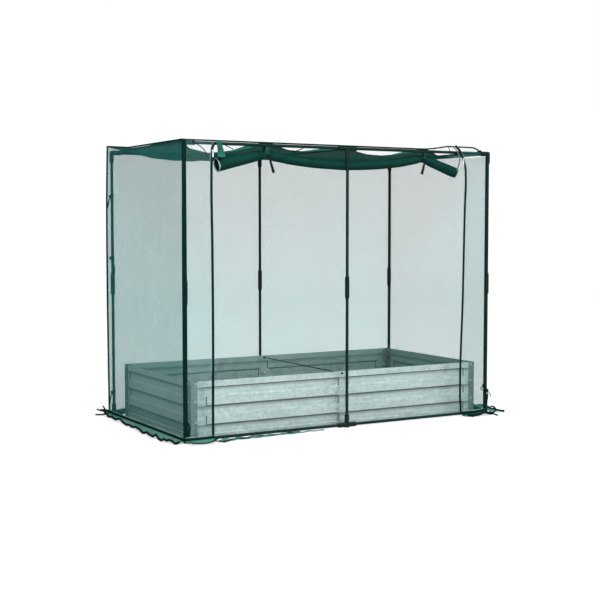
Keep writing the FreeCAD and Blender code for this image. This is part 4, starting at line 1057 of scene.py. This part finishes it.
def build_skirt(skirt):
    """Five flaps, each with a dark binding on its outer edge."""
    width = 0.8 * (SKIRT_HIGH[0] - (RIGHT + SKIRT_GAP))
    for number, (side, (inner, outer)) in enumerate(skirt_lines().items()):
        inner, outer = np.array(inner), np.array(outer)
        length = np.linalg.norm(inner[-1] - inner[0])
        columns = max(40, int(length / 0.006))
        points = skirt_grid(inner, outer, 14, columns, skirt.ripple, skirt.wave, 1.3 * number)
        along, out = even_grid(14, columns)
        cloth = np.stack([along * length, out * width], axis=-1)
        look = "skirt_bunched" if side == "front_right" else "skirt_fabric"
        flap = patch(f"skirt_{side}", points, cloth, look)
        edge = points[-1] + np.array([0, 0, 0.0006])
        size = 0.5 if side == "front_left" else 1.0
        sweep(f"skirt_{side}_hem", edge, oval(0.013 * size, 0.01 * size, 8, 0.7), (0, 0, 1), "binding_tape")
        if side == "left":
            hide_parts("ground_skirt")


def build_ground_trims():
    """Loose ends at the foot: tie tails at the rear left corner, a loop at the front right one, and the cord that
    lies along the doorway."""
    tapes = {
        "foot_tail_a": [(LEFT, BACK, 0.02), (-0.985, 0.54, 0.03), (-0.995, 0.56, 0.05)],
        "foot_tail_b": [(LEFT, BACK, 0.02), (-0.995, 0.54, 0.024), (-1.015, 0.55, 0.028), (-1.03, 0.565, 0.034)],
        "foot_tail_c": [(LEFT, BACK - 0.01, 0.02), (-1.0, 0.52, 0.008), (-1.03, 0.525, 0.008), (-1.05, 0.535, 0.008)],
        "foot_loop": [(POST_X + 0.01, -0.514, 0.032), (0.985, -0.522, 0.042), (1.0, -0.53, 0.028),
                      (0.992, -0.53, 0.009), (POST_X + 0.014, -0.52, 0.01)],
        "foot_spike": [(POST_X + 0.002, -0.53, 0.012), (POST_X + 0.004, -0.575, 0.006), (POST_X + 0.004, -0.61, 0.004)],
        "threshold_cord": [(ZIP_LEFT + 0.012, FRONT - 0.03, 0.004), (-0.76, FRONT - 0.05, 0.004),
                           (-0.70, FRONT - 0.02, 0.005), (-0.63, FRONT - 0.03, 0.004), (-0.56, FRONT - 0.008, 0.006),
                           (-0.48, FRONT - 0.018, 0.004), (-0.38, FRONT - 0.002, 0.005), (-0.3, FRONT + 0.002, 0.004)],
    }
    for name, knots in tapes.items():
        sweep(name, smooth_path(knots, 0.004), oval(0.0085, 0.006, 8), (0, 0, 1), "binding_tape")
    across, out = even_grid(10, 160)
    x = ZIP_LEFT + 0.02 + 0.62 * across
    fade = 1.0 - 0.6 * across
    y = FRONT - 0.004 - fade * (0.045 + 0.01 * np.sin(31.0 * x)) * out + 0.004 * np.sin(90.0 * x)
    z = 0.004 + 0.011 * fade * (0.5 + 0.5 * np.sin(75.0 * x + 5.0 * out)) * np.sin(np.pi * np.clip(out + 0.15, 0, 1))
    cloth = np.stack([0.62 * across, 0.045 * out], axis=-1)
    rumple = patch("threshold_net", np.stack([x, y, z], axis=-1), cloth, "net_gathered")
    turn = np.linspace(0.0, 2.0 * np.pi, 40)
    centre = np.array([POST_X - 0.045, FRONT - 0.008, 0.153])
    ring = centre + np.stack([0.0095 * np.cos(turn), 0.002 * np.sin(2 * turn), 0.0095 * np.sin(turn)], axis=1)
    sweep("tie_ring", ring, oval(0.004, 0.004, 8), (0, 1, 0), "black_steel")
    strap = [(POST_X - 0.014, FRONT + 0.004, 0.19), (POST_X - 0.03, FRONT - 0.006, 0.18), tuple(ring[10])]
    sweep("tie_ring_strap", smooth_path(strap, 0.004), oval(0.009, 0.005, 8), (0, 0, 1), "binding_tape")


# Stage


def stage_light_way():
    """The side the soft surroundings are brightest on: above, in front and a little to the right."""
    way = np.array([0.15, -0.75, 0.65])
    return tuple(float(part) for part in way / np.linalg.norm(way))


def add_camera(stage):
    """The camera, at the place solved from the photo."""
    camera = bpy.data.objects.new("camera", bpy.data.cameras.new("camera"))
    bpy.context.scene.collection.objects.link(camera)
    camera.location = CAMERA_PLACE
    camera.rotation_euler = (math.pi / 2 - stage.pitch, 0.0, -stage.yaw)
    camera.data.lens = stage.lens
    camera.data.clip_end = 200.0
    bpy.context.scene.camera = camera
    return camera


def paper_look():
    """Pale paper that looks white to the camera."""
    material = bpy.data.materials.new("stage_paper")
    material.use_nodes = True
    graph = Graph(material.node_tree)
    paper = graph.noise(place_of(graph), 3.0, 4.0)
    tone = graph.mix(graph.remap(paper, 0.3, 0.7), rgb(0.4, 0.4, 0.4), rgb(0.42, 0.42, 0.42))
    seen = graph.add("LightPath").outputs["Is Camera Ray"]
    glow = graph.math("MULTIPLY", seen, 0.62)
    shader = graph.add("BsdfPrincipled", {"Base Color": tone, "Roughness": 0.9, "Emission Color": rgb(1, 1, 1),
                                          "Emission Strength": glow, "Specular IOR Level": 0.0})
    output = graph.add("OutputMaterial")
    graph.tree.links.new(shader.outputs["BSDF"], output.inputs["Surface"])
    return material


def add_floor():
    """A floor that curves up behind the object."""
    sweep_angle = np.linspace(0.0, np.pi / 2, 24)
    depth = np.concatenate([[-14.0], 9.0 + 4.0 * np.sin(sweep_angle), [13.0]])
    height = np.concatenate([[0.0], 4.0 - 4.0 * np.cos(sweep_angle), [16.0]])
    x = np.array([-22.0, 22.0])
    points = np.stack([np.broadcast_to(x[None], (len(depth), 2)), np.broadcast_to(depth[:, None], (len(depth), 2)),
                       np.broadcast_to(height[:, None], (len(depth), 2))], axis=-1)
    mesh = bpy.data.meshes.new("stage_floor")
    ids = np.arange(points.shape[0] * 2).reshape(-1, 2)
    mesh.from_pydata(points.reshape(-1, 3).tolist(), [], grid_corners(ids).tolist())
    mesh.shade_smooth()
    mesh.materials.append(paper_look())
    floor = bpy.data.objects.new("stage_floor", mesh)
    bpy.context.scene.collection.objects.link(floor)
    return floor


def add_surroundings(stage):
    """White surroundings, brightest on the light's side."""
    world = bpy.data.worlds.new("surroundings")
    world.use_nodes = True
    sky = Graph(world.node_tree)
    way = sky.add("VectorMath", {0: sky.add("TexCoord").outputs["Generated"], 1: stage_light_way()},
                  operation="DOT_PRODUCT")
    soft = sky.remap(way.outputs["Value"], -0.6, 1.0, 0.12, 1.5 * stage.sky)
    seen = sky.add("LightPath").outputs["Is Camera Ray"]
    strength = sky.math("MAXIMUM", soft, seen)
    background = sky.add("Background", {"Color": rgb(1, 1, 1), "Strength": strength})
    output = sky.add("OutputWorld")
    sky.tree.links.new(background.outputs[0], output.inputs["Surface"])
    bpy.context.scene.world = world


def add_key(stage):
    """One large soft light above the front."""
    lamp = bpy.data.lights.new("soft_key", "AREA")
    lamp.shape = "DISK"
    lamp.size = 2.5
    lamp.energy = stage.key
    key = bpy.data.objects.new("soft_key", lamp)
    key.location = (-1.6, -4.6, 4.2)
    key.rotation_euler = (math.radians(52.0), 0.0, math.radians(-14.0))
    bpy.context.scene.collection.objects.link(key)
    return key


def build_stage(stage):
    """Camera, floor, surroundings and light, none of them part of the object."""
    bpy.context.scene.view_settings.view_transform = "Standard"
    camera, floor = add_camera(stage), add_floor()
    add_surroundings(stage)
    add_key(stage)


# Operators


class CageOperator:
    """What every operator of this file shares."""

    bl_options = {"REGISTER", "UNDO"}


class OBJECT_OT_cage_stage(CageOperator, bpy.types.Operator):
    """Add the camera, the floor and the light"""

    bl_idname = "object.cage_stage"
    bl_label = "Stage"

    def execute(self, context):
        build_stage(context.scene.cage_stage)
        return {"FINISHED"}


class OBJECT_OT_cage_looks(CageOperator, bpy.types.Operator):
    """Make every material and dress the CAD parts"""

    bl_idname = "object.cage_looks"
    bl_label = "Materials"

    def execute(self, context):
        make_looks(context.scene.cage_net)
        make_cover_variants(context.scene.cage_net)
        dress_nodes()
        return {"FINISHED"}


class OBJECT_OT_cage_cover(CageOperator, bpy.types.Operator):
    """Hang the roof, the walls and their bindings"""

    bl_idname = "object.cage_cover"
    bl_label = "Cover"

    def execute(self, context):
        build_roof(context.scene.cage_net)
        build_walls(context.scene.cage_net)
        build_bindings(context.scene.cage_trim)
        return {"FINISHED"}


class OBJECT_OT_cage_door(CageOperator, bpy.types.Operator):
    """Wind the door and tie it under the rail"""

    bl_idname = "object.cage_door"
    bl_label = "Rolled door"

    def execute(self, context):
        build_roll(context.scene.cage_roll)
        build_door_ties(context.scene.cage_trim)
        build_gather()
        build_slack_threads()
        return {"FINISHED"}


class OBJECT_OT_cage_zips(CageOperator, bpy.types.Operator):
    """Add the zips' tapes and coils"""

    bl_idname = "object.cage_zips"
    bl_label = "Zips"

    def execute(self, context):
        build_zips(context.scene.cage_trim)
        build_door_zip_edge()
        return {"FINISHED"}


class OBJECT_OT_cage_ties(CageOperator, bpy.types.Operator):
    """Tie the cover to the posts"""

    bl_idname = "object.cage_ties"
    bl_label = "Post ties"

    def execute(self, context):
        build_post_ties(context.scene.cage_trim)
        return {"FINISHED"}


class OBJECT_OT_cage_skirt(CageOperator, bpy.types.Operator):
    """Lay the skirt and the loose ends on the ground"""

    bl_idname = "object.cage_skirt"
    bl_label = "Skirt"

    def execute(self, context):
        build_skirt(context.scene.cage_skirt)
        build_ground_trims()
        return {"FINISHED"}


class OBJECT_OT_cage_sheets(CageOperator, bpy.types.Operator):
    """Does nothing: returns at once"""

    bl_idname = "object.cage_sheets"
    bl_label = "Sheets"

    def execute(self, context):
        return {"FINISHED"}


class VIEW3D_PT_crop_cage(bpy.types.Panel):
    """Buttons for each group of pieces"""

    bl_label = "Crop cage"
    bl_space_type = "VIEW_3D"
    bl_region_type = "UI"
    bl_category = "Crop cage"

    def draw(self, context):
        for operator in OPERATORS:
            self.layout.operator(operator.bl_idname)


SETTINGS = {
    "cage_net": NetSettings,
    "cage_roll": RollSettings,
    "cage_trim": TrimSettings,
    "cage_skirt": SkirtSettings,
    "cage_stage": StageSettings,
}
OPERATORS = (
    OBJECT_OT_cage_stage,
    OBJECT_OT_cage_looks,
    OBJECT_OT_cage_cover,
    OBJECT_OT_cage_door,
    OBJECT_OT_cage_zips,
    OBJECT_OT_cage_ties,
    OBJECT_OT_cage_skirt,
    OBJECT_OT_cage_sheets,
)


def register():
    for group in SETTINGS.values():
        bpy.utils.register_class(group)
    for name, group in SETTINGS.items():
        setattr(bpy.types.Scene, name, bpy.props.PointerProperty(type=group))
    for operator in OPERATORS:
        bpy.utils.register_class(operator)
    bpy.utils.register_class(VIEW3D_PT_crop_cage)


def unregister():
    bpy.utils.unregister_class(VIEW3D_PT_crop_cage)
    for operator in reversed(OPERATORS):
        bpy.utils.unregister_class(operator)
    for name in SETTINGS:
        delattr(bpy.types.Scene, name)
    for group in reversed(list(SETTINGS.values())):
        bpy.utils.unregister_class(group)


def main():
    register()
    bpy.ops.object.cage_stage()
    bpy.ops.object.cage_looks()
    bpy.ops.object.cage_cover()
    bpy.ops.object.cage_door()
    bpy.ops.object.cage_zips()
    bpy.ops.object.cage_ties()
    bpy.ops.object.cage_skirt()
    bpy.ops.object.cage_sheets()


if __name__ == "__main__":
    main()
